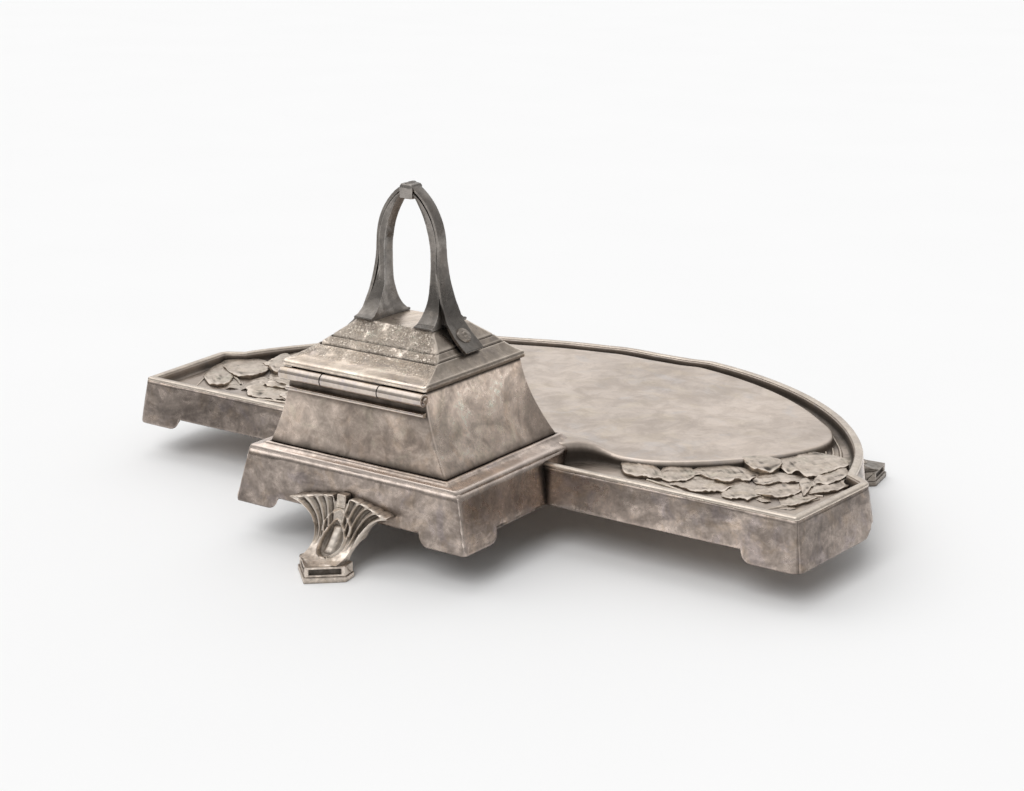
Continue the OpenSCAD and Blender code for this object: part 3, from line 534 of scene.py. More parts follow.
def pan_base():
    # rear edge, rounded tip and front edge of one half
    knots = [(0, -19.0), (24, -19.0), (32, -18.0), (38, -14.6), (41.5, -12.6), (43.8, -13.4), (45.2, -15.6), (46.3, -18.0), (47.6, -19.7),
             (49.2, -21.0), (51.1, -22.1), (53.2, -22.7), (55.4, -23.1), (57.9, -23.2), (60.5, -23.3), (62.7, -23.5),
             (67.5, -24.0), (72.2, -25.3), (78.1, -28.4), (86.4, -34.9), (92.0, -40.4), (96.4, -45.4), (101, -51.3), (104.4, -56.4),
             (107.2, -62.0), (109.8, -68.5), (111.4, -75.1), (111.6, -81.4), (110.4, -86.8), (107.9, -92.0), (104.6, -97.0)]
    for i in range(0, 15):
        a = math.radians(-43.6 - 46.4 * i / 15)
        knots.append((135.3 * math.cos(a) - 0.0, -10 + 135.3 * math.sin(a)))
    full = knots + [(0.0, -145.3)] + [(-x, y) for x, y in reversed(knots[1:])]
    q = np.array(full)
    # even steps round the loop, then rounded
    seg = np.linalg.norm(np.roll(q, -1, 0) - q, axis=1)
    t = np.concatenate([[0], np.cumsum(seg)])
    qc = np.vstack([q, q[:1]])
    m = 2 * int(t[-1] / 4.4)
    tt = np.linspace(0, t[-1], m + 1)[:-1]
    p = np.stack([np.interp(tt, t, qc[:, 0]), np.interp(tt, t, qc[:, 1])], 1)
    for _ in range(2):
        p = 0.5 * p + 0.25 * (np.roll(p, 1, 0) + np.roll(p, -1, 0))
    p = bend(p)
    t = np.roll(p, -1, 0) - np.roll(p, 1, 0)
    nrm = np.stack([-t[:, 1], t[:, 0]], 1)
    nrm /= np.linalg.norm(nrm, axis=1)[:, None]
    if ((p - p.mean(0)) * nrm).sum(1).mean() < 0:
        nrm = -nrm
    return p, nrm


PAN_P, PAN_N = pan_base()


def pan_loop(e):
    return PAN_P - PAN_N * e


def poly_dist(q, poly, closed=True):
    """Distance from each point of q to a polyline."""
    a, b = poly, np.roll(poly, -1, 0)
    if not closed:
        a, b = poly[:-1], poly[1:]
    ab = b - a
    l2 = (ab ** 2).sum(1) + 1e-12
    out = np.empty(len(q))
    for i in range(0, len(q), 400):
        s = q[i:i + 400]
        t = np.clip(((s[:, None] - a[None]) * ab[None]).sum(2) / l2[None], 0, 1)
        d = s[:, None] - (a[None] + ab[None] * t[..., None])
        out[i:i + 400] = np.sqrt((d ** 2).sum(2).min(1))
    return out


def inside(q, poly):
    res = np.zeros(len(q), bool)
    for (x1, y1), (x2, y2) in zip(poly, np.roll(poly, -1, 0)):
        c = ((y1 > q[:, 1]) != (y2 > q[:, 1]))
        if c.any() and y2 != y1:
            res ^= c & (q[:, 0] < (x2 - x1) * (q[:, 1] - y1) / (y2 - y1) + x1)
    return res


RIM_PROFILE = [(0.0, SEAT_Z), (0.02, 30.25), (0.13, 30.6), (0.36, 30.86), (0.72, 31.03), (1.15, RIM_Z), (1.8, 31.07), (2.4, 31.0),
               (2.8, 30.82), (3.06, 30.45), (3.2, 29.8), (3.28, 28.6), (3.42, 27.6), (3.7, 27.05), (4.1, 26.86), (4.5, FLOOR_Z)]
PAN_PROFILE = [(-1.3, FLOOR_Z), (-0.8, 26.88), (-0.35, 27.15), (-0.05, 27.7), (0.12, 28.5), (0.32, 29.2), (0.7, 29.76), (1.2, 30.04),
               (1.8, 30.16), (2.8, PAN_Z)]


def swell(x, y):
    """The pan's sheet rises to meet the plinth's top edge."""
    d = math.hypot(max(0.0, abs(x) - 44.4), 1.6 * min(0.0, y + 23.5))
    return 3.75 * math.cos(math.pi / 2 * min(1.0, d / 17.5)) ** 2


def surface_z(q):
    """Height of the pan and floor sheet at plan points."""
    d = poly_dist(q, PAN_P)
    e = np.where(inside(q, PAN_P), d, -d)
    return np.interp(e, [p[0] for p in PAN_PROFILE], [p[1] for p in PAN_PROFILE])


def wobble(x, y, s, seed):
    return noise.noise(Vector((x * s + seed, y * s - seed, seed * 0.37)))


def fill(loop, step, margin):
    """Triangles over a closed plan loop, with inner points."""
    lo, hi = loop.min(0), loop.max(0)
    g = np.array([(x + (step / 2 if j % 2 else 0), y) for j, y in enumerate(np.arange(lo[1], hi[1], step * 0.866))
                  for x in np.arange(lo[0], hi[0], step)])
    g = g[inside(g, loop)]
    g = g[poly_dist(g, loop) > margin]
    co = [Vector((float(x), float(y))) for x, y in loop] + [Vector((float(x), float(y))) for x, y in g]
    r = geometry.delaunay_2d_cdt(co, [], [list(range(len(loop)))], 1, 1e-5)
    return [(v.x, v.y) for v in r[0]], [list(f) for f in r[2]]


# row tones along RIM_PROFILE from the outer edge to the floor: painted highlight on the rounded top, painted shade down
# the inner wall
RIM_TONE = [0.66, 0.72, 0.74, 0.70, 0.64, 0.60, 0.57, 0.56, 0.60, 0.46, 0.24, 0.13, 0.11, 0.13, 0.18, 0.24]
BACK_TONE = [0.56, 0.66, 0.72, 0.68, 0.52, 0.45, 0.43, 0.42, 0.42, 0.38, 0.30, 0.24, 0.24, 0.26, 0.30, 0.34]
# row tones along PAN_PROFILE from the channel floor up to the pan: painted shade on the pan's wall
PAN_TONE = [0.24, 0.18, 0.14, 0.13, 0.14, 0.20, 0.34, 0.54, 0.58, 0.52]


def rim_tone(k, x, y):
    """Tone across the rim: lighter on the curved front than on the straight rear and end bands, with painted highlight
    on the rounded top and painted shade down the inner wall.
    """
    u = min(1.0, max(0.0, (-y - 36.0) / 16.0))
    return lerp(BACK_TONE[k], RIM_TONE[k], u * u * (3 - 2 * u)) + 0.05 * wobble(x, y, 0.09, 31)


def lift(q):
    """Raised ground under the leaf sprays."""
    x, y = np.abs(q[:, 0]), q[:, 1]
    m = np.clip((x - 62) / 8, 0, 1) * np.clip((y + 66) / 8, 0, 1)
    return 0.75 * m




def build_tray():
    V, F = [], []
    rows = [[(x, y, z, rim_tone(k, x, y)) for x, y in rim_loop(d)] for k, (d, z) in enumerate(RIM_PROFILE)]
    rows_to_faces(V, F, rows[:10], False)
    piece("rim_band", V, F, "rim", "base", None, sharp=60, up=True, sheet=1.2)
    V, F = [], []
    rows_to_faces(V, F, rows[9:], False)

    def pan_tone(k, x, y):
        # painted highlight along the pan's rear lip, toned down near the plinth
        u = min(1.0, max(0.0, (y + 62) / 14)) * min(1.0, max(0.0, (abs(x) - 36) / 4))
        near = min(1.0, max(0.0, (64 - abs(x)) / 6))
        return lerp(PAN_TONE[k], {5: 0.36, 6: 0.62, 7: 0.86, 8: 0.62}.get(k, PAN_TONE[k]) - (0.16 if 5 <= k <= 8 else 0.08) * near, u)

    def edge_z(x, y, z):
        return FLOOR_Z + (z - FLOOR_Z) * (PAN_Z + swell(x, y) - FLOOR_Z) / (PAN_Z - FLOOR_Z)

    rows_to_faces(V, F, [[(x, y, edge_z(x, y, z), pan_tone(k, x, y)) for x, y in pan_loop(e)] for k, (e, z) in enumerate(PAN_PROFILE)], True)
    loop = pan_loop(PAN_PROFILE[-1][0])
    pv, pf = fill(loop, 2.6, 1.2)
    d = poly_dist(np.array(pv), loop)
    i0 = len(V)
    for (x, y), dd in zip(pv, d):
        z = PAN_Z
        if dd > 1e-4:
            z += (0.26 * wobble(x, y, 0.030, 11) + 0.12 * wobble(x, y, 0.10, 5)) * min(1.0, dd / 8)
            z += 0.7 * math.exp(-(((x + 5) / 4.6) ** 2 + ((y + 136.4) / 3.4) ** 2) ** 1.6)
            z += 0.3 * math.exp(-(((x + 22) / 12) ** 2 + ((y + 133) / 3.0) ** 2))
        V.append((x, y, min(z, 30.98) + swell(x, y), 0.5 + 0.07 * wobble(x, y, 0.05, 2) - 0.05 * max(0.0, wobble(x, y, 0.021, 9))))
    F += [tuple(i0 + i for i in f) for f in pf]
    rim = rim_loop(RIM_PROFILE[-1][0])
    pl = pan_loop(PAN_PROFILE[0][0])
    n, k = len(pl), 6
    back = [pl[(-k - i) % n] for i in range(0, n - 2 * k + 1)]
    poly = np.array([tuple(p) for p in rim] + [tuple(p) for p in back])
    cv, cf = fill(poly, 2.4, 0.9)
    cv = np.array(cv)
    d = poly_dist(cv, poly)
    dp = poly_dist(cv, pl)
    i0 = len(V)
    up = lift(cv)
    for (x, y), dd, dq, ul in zip(cv, d, dp, up):
        z = FLOOR_Z + ((0.25 * wobble(x, y, 0.12, 21) + ul) * min(1, dd / 2.5) if dd > 1e-4 else 0)
        # painted shade on the channel floor, darkest against the pan's wall, and on the raised ground under the leaves
        tone = float(np.interp(dq, [0, 1.5, 4], [0.22, 0.29, 0.36])) + 0.10 * wobble(x, y, 0.16, 4)
        V.append((x, y, z, lerp(tone, 0.33, min(1, ul / 0.75))))
    F += [tuple(i0 + i for i in f) for f in cf]
    piece("tray_top", V, F, "pan", "base", "tray_plate", sharp=60, up=True, sheet=1.2)


def cushion(a, c, r=4.1):
    """Lower edge of a wall at distance a from its middle: cut out up to c, then a quarter-round corner foot."""
    if a <= c - r:
        return 17.3
    if a >= c:
        return 13.2
    return 17.3 - math.sqrt(max(0.0, r * r - (c - a) ** 2))


def build_aprons():
    l0, l3 = rim_loop(0.0), rim_loop(-3.0)
    n = len(l0)
    half = n // 2
    i_corner = N_REAR + N_CORNER // 2
    i_join = N_REAR + N_CORNER + N_END - 1 + N_ARC + N_SH

    def zb(i):
        m = i if i <= half else n - 1 - i
        if m < i_corner:
            return cushion(abs(l0[i][0]), 126.7)
        # the end face stops in a rounded lower corner
        q = l0[i] if i <= half else l0[n - 1 - i]
        u = (-q[1] - (END_DEPTH - 8.0)) / 5.0
        if u <= 0:
            return 13.2
        return 13.2 + 4.1 * (1 - math.sqrt(max(0.0, 1 - min(1.0, u) ** 2)))

    def wall(name, idx, node, start=None):
        V, F = [], []
        rows = []
        for t in [0, 0.03, 0.08, 0.2, 0.35, 0.5, 0.65, 0.8, 0.92, 1.0]:
            row = []
            for i in idx:
                z0 = zb(i)
                z = lerp(z0, SEAT_Z, t)
                k = (SEAT_Z - z) / 16.7
                e = 0.22 * (1 - min(1, t / 0.05)) ** 2      # rounded lower edge
                p = l0[i] + (l3[i] - l0[i]) * max(0, k - e / 3.0)
                # row tones: a faint painted highlight on the rounded lower edge, painted shade under the rim band at
                # the top
                row.append((p[0], p[1], z, 0.60 if t < 0.04 else (0.40 if t > 0.97 else (0.45 if t > 0.9 else 0.5))))
            rows.append(row)
        rows_to_faces(V, F, rows, False)
        o = piece(name, V, F, "body", "base", node, sharp=50, wob=(0.16, 0.06, 3.3), sheet=1.4)
        return o

    objs = []
    objs.append(wall("rear_wall_left", range(0, i_corner + 1), "rear_apron_left"))
    objs.append(wall("end_wall_left", range(i_corner, i_join + 1), "end_apron_left"))
    objs.append(wall("front_wall", range(i_join, n - i_join), "front_apron"))
    objs.append(wall("end_wall_right", range(n - 1 - i_join, n - i_corner), "end_apron_right"))
    objs.append(wall("rear_wall_right", range(n - 1 - i_corner, n), "rear_apron_right"))
    for o in objs:
        # each wall faces out, away from the tray's middle
        bm = bmesh.new()
        bm.from_mesh(o.data)
        c = Vector((0, (-45 + YS) / 1000, 0.022))
        s = sum(f.normal.dot((f.calc_center_median() - c) * Vector((1, 1, 0))) * f.calc_area() for f in bm.faces)
        if s < 0:
            bmesh.ops.reverse_faces(bm, faces=bm.faces)
            bm.to_mesh(o.data)
        bm.free()


build_tray()
build_aprons()


def seam(V, F, pts, r, seed):
    """A lumpy bead of solder along a wall corner."""
    P = np.array(pts, float)
    t = np.linspace(0, 1, len(P))
    tt = np.linspace(0, 1, 34)
    S = np.stack([np.interp(tt, t, P[:, i]) for i in range(3)], 1)
    rows = []
    for i, p in enumerate(S):
        q = noise.noise(Vector((tt[i] * 9 + seed, seed, 1.0)))
        rr = r * (1 + 0.6 * q) * (0.35 if i in (0, 33) else 1)
        ox, oy = 0.12 * noise.noise(Vector((tt[i] * 7, seed, 5.0))), 0.12 * noise.noise(Vector((tt[i] * 7, seed, 8.0)))
        # the bead's bright tone: partly worn solder, partly painted highlight
        rows.append([(p[0] + ox + rr * math.cos(a), p[1] + oy + rr * math.sin(a), p[2], 0.86 + 0.25 * q)
                     for a in np.linspace(0, 2 * math.pi, 9)[:-1]])
    rows_to_faces(V, F, rows, True)


def build_seams():
    V, F = [], []
    l0, l3 = rim_loop(0.0), rim_loop(-3.0)
    i_corner = N_REAR + N_CORNER // 2
    for s in (1, -1):
        a = l0[i_corner]
        b = l3[i_corner]
        pts = []
        for z in np.linspace(14.0, 29.4, 6):
            k = (SEAT_Z - z) / 16.7
            q = a + (b - a) * k
            pts.append((s * (q[0] - 0.45), q[1] - 0.45, z))
        seam(V, F, pts, 0.36, 3.0 + s)
        pts = [(s * (plinth_hx(z) - 0.62), plinth_yr(z) - 0.62, z) for z in np.linspace(14.2, 32.7, 6)]
        seam(V, F, pts, 0.34, 7.0 + s)
    piece("corner_seams", V, F, "body", "base", None, sharp=80)

# ---------------------------------------------------------------------------
# plinth, well and lid: square rings with rounded corners
# ---------------------------------------------------------------------------
ARC = 5


def ring(hx, yf, yr, rc, tx, ty, zx, zf=None, zr=None):
    """Closed rounded rectangle. tx and ty are the plan positions of the points along its sides."""
    zf = zx if zf is None else zf
    zr = zx if zr is None else zr
    out = []

    def arc(cx, cy, a0, z0, z1):
        for i in range(ARC + 1):
            a = math.radians(a0 + 90 * i / ARC)
            k = i / ARC
            out.append((cx + rc * math.cos(a), cy + rc * math.sin(a), lerp(z0, z1, k * k * (3 - 2 * k))))

    xs = [x for x in tx if abs(x) < hx - rc - 0.05]
    ys = [yf + rc + (yr - yf - 2 * rc) * t for t in ty]
    xs = [(hx - rc) * t for t in tx] if max(abs(t) for t in tx) <= 1 else xs
    arc(hx - rc, yr - rc, 0, zx, zr)
    out += [(x, yr, zr) for x in sorted(xs, reverse=True)]
    arc(-hx + rc, yr - rc, 90, zr, zx)
    out += [(-hx, y, zx) for y in sorted(ys, reverse=True)]
    arc(-hx + rc, yf + rc, 180, zx, zf)
    out += [(x, yf, zf) for x in sorted(xs)]
    arc(hx - rc, yf + rc, 270, zf, zx)
    out += [(hx, y, zx) for y in sorted(ys)]
    return out


TX = [-0.98, -0.9, -0.75, -0.6, -0.45, -0.3, -0.15, 0.0, 0.15, 0.3, 0.45, 0.6, 0.75, 0.9, 0.98]
TY = [0.02, 0.1, 0.2, 0.32, 0.44, 0.56, 0.68, 0.8, 0.9, 0.98]


def plinth_hx(z):
    return 49.4 - (z - 13.2) * (4.8 / 20.0)


def plinth_yr(z):
    return 51.0 - (z - 13.2) * (2.5 / 20.0)


def build_plinth():
    V, F = [], []
    xs = [0, 6, 12, 18, 24, 28, 30.3, 30.32, 30.45, 30.75, 31.3, 32.1, 33.2, 34.4, 37, 40, 42.5]
    ys = [-1.5, 4, 10, 16, 22, 27, 31.9, 31.92, 32.05, 32.35, 32.9, 33.7, 34.8, 36.0, 39, 42, 45, 47]
    rc = 1.5

    def point(kind, v, z, e):
        hx, yr = plinth_hx(z) - e, plinth_yr(z) - e
        if kind == "x+":
            return (hx, v, z)
        if kind == "x-":
            return (-hx, v, z)
        if kind == "r":
            return (v, yr, z)
        s, a = v
        return (s * (hx - rc + rc * math.cos(a)), yr - rc + rc * math.sin(a), z)

    path = [("x+", y) for y in ys] + [("c", (1, math.pi / 2 * i / ARC)) for i in range(ARC + 1)]
    path += [("r", x) for x in sorted([-x for x in xs if x] + xs, reverse=True)]
    path += [("c", (-1, math.pi / 2 * (1 - i / ARC))) for i in range(ARC + 1)] + [("x-", y) for y in reversed(ys)]
    rows = []
    for t in [0, 0.03, 0.08, 0.2, 0.32, 0.45, 0.6, 0.75, 0.88, 1.0]:
        row = []
        for kind, v in path:
            z0 = 13.2
            if kind in ("x+", "x-"):
                z0 = cushion(v, 36.0)
            elif kind == "r":
                z0 = cushion(abs(v), 34.4)
            e = 0.22 * (1 - min(1, t / 0.05)) ** 2
            row.append(point(kind, v, lerp(z0, 32.4, t), e))
        rows.append(row)
    rows_to_faces(V, F, rows, False)
    # skirt that stands on the tray floor in front, its corners under the pan
    hx, yf = plinth_hx(32.4), -22.6
    sk = [(-hx, -1.5), (-hx, -6), (-hx, -10), (-hx, -13), (-hx + 0.5, -15.5), (-hx + 1.6, -18), (-hx + 3.2, -20.4), (-hx + 5.2, yf)]
    sk += [(x, yf) for x in np.linspace(-36, 36, 13)]
    full = sk + [(-x, y) for x, y in reversed(sk[:8])]
    rows_to_faces(V, F, [[(x, y, z) for x, y in full] for z in (26.6, 28, 29.6, 31, 32.4)], False)
    # sloping top with a soft edge and a bead round the well's foot
    prof = [(-0.10, 0.10, 0.15, 31.2, 1.5), (-0.14, -0.02, 0.0, 32.2, 1.5), (-0.19, -0.10, -0.1, 32.4, 1.5), (-0.1, -0.04, 0.0, 32.9, 1.5), (0.02, 0.02, 0.02, 33.25, 1.5), (0.22, 0.12, 0.16, 33.52, 1.4),
            (0.55, 0.28, 0.36, 33.73, 1.3), (1.05, 0.5, 0.62, 33.88, 1.2), (1.9, 0.85, 1.0, 34.0, 1.1), (3.1, 1.25, 1.7, 34.2, 1.0),
            (4.1, 1.6, 2.3, 34.44, 0.9), (4.75, 1.85, 2.6, 34.64, 0.9), (5.1, 2.0, 2.78, 34.84, 0.9), (5.35, 2.12, 2.92, 35.05, 0.9),
            (5.58, 2.25, 3.1, 35.25, 0.8), (5.9, 2.48, 3.38, 35.40, 0.8), (6.3, 2.76, 3.74, 35.48, 0.7), (6.7, 3.0, 4.1, 35.42, 0.6),
            (6.95, 3.15, 4.35, 35.32, 0.6), (7.8, 3.9, 5.3, 35.28, 0.5)]
    rows = []
    for ix, ir, jf, z, r in prof:
        # row tones: painted highlight on the rounded top edge and on the bead, painted shade in the corner at the
        # well's foot; a little lighter along the rear, closer to neutral on the front slope
        tone = float(np.interp(ix, [-0.3, -0.1, 0.1, 0.5, 1.0, 1.6, 4.3, 5.0, 5.25, 5.45, 5.8, 6.3, 6.7, 6.95, 7.8],
                               [0.5, 0.62, 0.84, 0.88, 0.82, 0.70, 0.66, 0.58, 0.46, 0.54, 0.80, 0.78, 0.42, 0.14, 0.10]))
        row = []
        for q in ring(44.6 - ix, -24.4 + jf, 48.5 - ir, r, TX, TY, z):
            x, y, zz = q
            u = min(1.0, max(0.0, (-9.0 - y) / 8.0))
            u = u * u * (3 - 2 * u)
            w_ = max(0.0, 1 - ix / 5.0)
            zz -= 0.9 * u * w_
            if y < -12:
                y += 1.6 * w_ * u
            back = min(1.0, max(0.0, (y - 40) / 4)) if tone > 0.5 else 0.0
            row.append((x, y, zz, min(0.92, lerp(tone, 0.46, 0.9 * u * w_) + 0.08 * back)))
        rows.append(row)
    rows_to_faces(V, F, rows, True)
    piece("plinth_body", V, F, "body", "base", ["plinth", "plinth_moulding"], sharp=50, wob=(0.16, 0.07, 8.1), up=True, sheet=1.3)


def build_well():
    V, F = [], []
    rows = []
    zs = [35.2, 35.8, 36.6] + list(np.linspace(38, 53, 11)) + [53.8, 54.6, 55.2, 55.6, 56.2, 57, 58, 59, 60, 61, 61.5, 61.7, 62.1, 62.4, 62.9, 63.2, 63.5, 63.6]
    for z in zs:
        t = min(1, max(0, (z - 35.8) / 27.8))
        sag = 4 * t * (1 - t)
        e = 0.0
        if z > 62.9:
            e = {63.2: 0.04, 63.5: 0.2, 63.6: 0.5}.get(round(z, 1), 0)
        # painted shade at the foot and under the lid's overhang at the top
        tone = float(np.interp(z, [35.2, 35.9, 36.6, 37.8, 39.4, 41.0, 61.4, 61.8, 62.3, 62.6, 63.6], [0.10, 0.14, 0.24, 0.34, 0.42, 0.5, 0.5, 0.46, 0.30, 0.06, 0.0]))
        # painted shadow of the hinge barrel and the ledge on the rear face
        behind = float(np.interp(z, [52.6, 54.2, 55.0, 56.0, 60.5, 61.5, 62.4], [0.42, 0.26, 0.22, 0.24, 0.24, 0.20, 0.05]))
        hx, yr = lerp(37.4, 28.2, t) - 1.3 * sag - e, lerp(45.2, 43.9, t) - 0.12 * sag - e
        row = []
        for q in ring(hx, -(lerp(19.6, 10.6, t) - 1.1 * sag) + e, yr, lerp(0.9, 0.7, t), TX, TY, z):
            a = tone
            if q[1] > yr - 0.3 and abs(q[0]) < hx - 0.3:
                a = min(tone, behind)
            elif 37.5 < z < 61.6 and abs(abs(q[0]) - hx) < 0.5 and abs(q[1] - yr) < 0.7:
                # bright hips: partly worn edge, partly painted highlight
                a = 0.84 + 0.16 * wobble(q[2], q[0], 0.4, 3)
            row.append(q + (a,))
        rows.append(row)
    rows_to_faces(V, F, rows, True)
    piece("well_body", V, F, "well", "base", "well_housing", sharp=50, wob=(0.15, 0.08, 4.7), sheet=1.5)


def build_lid():
    V, F = [], []
    Z0 = 63.9
    yf0, hx0 = 13.4 - 24.5, 30.2
    # x and front inset, z; rear y, rear z; tone
    prof = [(0.6, -0.10, 45.3, -0.10, 0.05), (0.18, -0.05, 45.95, -0.14, 0.10), (0.0, 0.3, 46.2, 0.1, 0.34), (0.0, 1.2, 46.25, 0.85, 0.42),
            (0.1, 1.75, 46.1, 1.35, 0.46), (0.36, 2.1, 45.65, 1.7, 0.70), (0.62, 2.25, 45.1, 1.88, 0.74), (0.95, 2.4, 44.3, 2.0, 0.46),
            (2.0, 3.1, 42.0, 2.45, 0.42), (3.3, 4.1, 38.6, 3.3, 0.50), (4.5, 5.2, 35.6, 4.6, 0.52), (5.2, 5.75, 33.4, 5.35, 0.74),
            (5.36, 5.5, 33.0, 5.05, 0.10), (5.52, 5.46, 32.7, 5.0, 0.06), (5.66, 6.05, 32.45, 5.6, 0.36), (5.84, 6.45, 32.15, 6.0, 0.84),
            (6.4, 6.95, 31.3, 6.6, 0.5), (7.2, 7.7, 30.2, 7.35, 0.52), (7.5, 7.98, 29.8, 7.68, 0.70), (7.66, 7.7, 29.6, 7.4, 0.10),
            (7.84, 7.62, 29.4, 7.35, 0.06), (7.95, 8.15, 29.2, 7.9, 0.36), (8.15, 8.55, 29.0, 8.3, 0.84), (9.4, 9.6, 27.9, 9.4, 0.52),
            (10.6, 10.55, 26.8, 10.4, 0.5), (11.8, 11.5, 25.75, 11.4, 0.5), (12.9, 12.4, 24.8, 12.3, 0.5), (13.7, 13.1, 24.1, 13.05, 0.54),
            (14.15, 13.5, 23.75, 13.5, 0.70), (14.5, 13.7, 23.4, 13.7, 0.68), (14.9, 13.75, 23.0, 13.75, 0.5), (15.3, 13.68, 22.6, 13.68, 0.42),
            (16.0, 13.6, 21.9, 13.6, 0.42)]
    rows = []
    for i, z, yr, zr, tone in prof:
        rc = 0.9 if i < 0.7 else (1.5 if 1.0 < i < 4.6 else 0.8)
        r = ring(hx0 - i, yf0 + i, yr, rc, TX, TY, Z0 + z, Z0 + z, Z0 + zr)
        row = []
        for x, y, zz in r:
            hip = min(abs(hx0 - i - abs(x)), 9) < 1.2 and min(abs(y - yr), abs(y - yf0 - i)) < 1.2
            # painted light: painted shade at the lower edge and in the grooves, painted highlights on the ridges and
            # hips, the rear face's lower band darkened and its slope lightened
            if y > yr - 1.2 and 0.9 < i < 4.9:
                tn = min(tone, 0.34) if i < 2.4 else tone + 0.14
            elif y > yr - 1.2 and 5.8 < i < 14 and 0.3 < tone < 0.6:
                tn = tone + 0.16
            else:
                tn = tone
            row.append((x, y, zz, max(tn, 0.84) if hip and 0.3 < tone else tn))
        rows.append(row)
    rows_to_faces(V, F, rows, True)
    last = rows[-1]
    c = len(V)
    V.append((0, 13.4, Z0 + 13.55, 0.42))
    base = c - len(last)
    for i in range(len(last)):
        F.append((base + i, base + (i + 1) % len(last), c))
    piece("lid_body", V, F, "lid", "lid", ["lid_shell", "lid_leaf"], sharp=38, wob=(0.08, 0.09, 2.2), up=True, sheet=1.1)
    # near-black painted shade in the joint between the lid and the well
    V, F = [], []
    rows = [ring(hx0 - i, yf0 + i, yr, 0.6, TX, TY, z) for i, z, yr in ((0.5, 63.80, 44.2), (1.2, 63.5, 44.1), (2.3, 63.78, 43.95))]
    rows_to_faces(V, F, rows, True)
    piece("lid_joint_painted_shade", V, F, "shade", "lid", None, sharp=60, sheet=0.25)




def build_knuckle_gaps():
    # near-black rings in the gaps between the knuckles: painted shade
    V, F = [], []
    for x0 in (12.08, -12.08):
        rows = []
        for dx, r in ((-0.26, 2.12), (-0.20, 2.235), (0.0, 2.26), (0.20, 2.235), (0.26, 2.12)):
            rows.append([(x0 + dx, 46.6 + r * math.cos(a), 61.4 + r * math.sin(a)) for a in np.linspace(0, 2 * math.pi, 49)[:-1]])
        rows_to_faces(V, F, rows, True)
    piece("knuckle_gap_painted_shade", V, F, "shade", "base", None, sharp=60)


build_knuckle_gaps()
build_seams()
build_plinth()
build_well()
build_lid()

# ---------------------------------------------------------------------------
# handle
# ---------------------------------------------------------------------------
HY = 13.65


def outer_x(z):
    if z >= 104:
        return -9.95 + math.sqrt(max(0, 23.15 ** 2 - (z - 104) ** 2))
    return 77.1 - math.sqrt(63.8 ** 2 - (104 - z) ** 2)


def inner_x(z):
    if z >= 100:
        return -24 + math.sqrt(max(0, 33.8 ** 2 - (z - 100) ** 2))
    return 9.8 - 0.25 * min(1, (100 - z) / 8) - 0.75 * max(0, (84 - z) / 6.4) ** 2


def flare(z):
    if z >= 93.2:
        return 2.35
    return 2.35 + 18.5 - math.sqrt(max(0.0, 18.5 ** 2 - (93.2 - z) ** 2))


def section_grid(V, F, secs, cap=True):
    rows_to_faces(V, F, secs, True)
    n = len(secs[0])
    if cap:
        a = len(V) - n * len(secs)
        F.append(tuple(range(a, a + n)))
        b = len(V) - n
        F.append(tuple(range(b, b + n)))


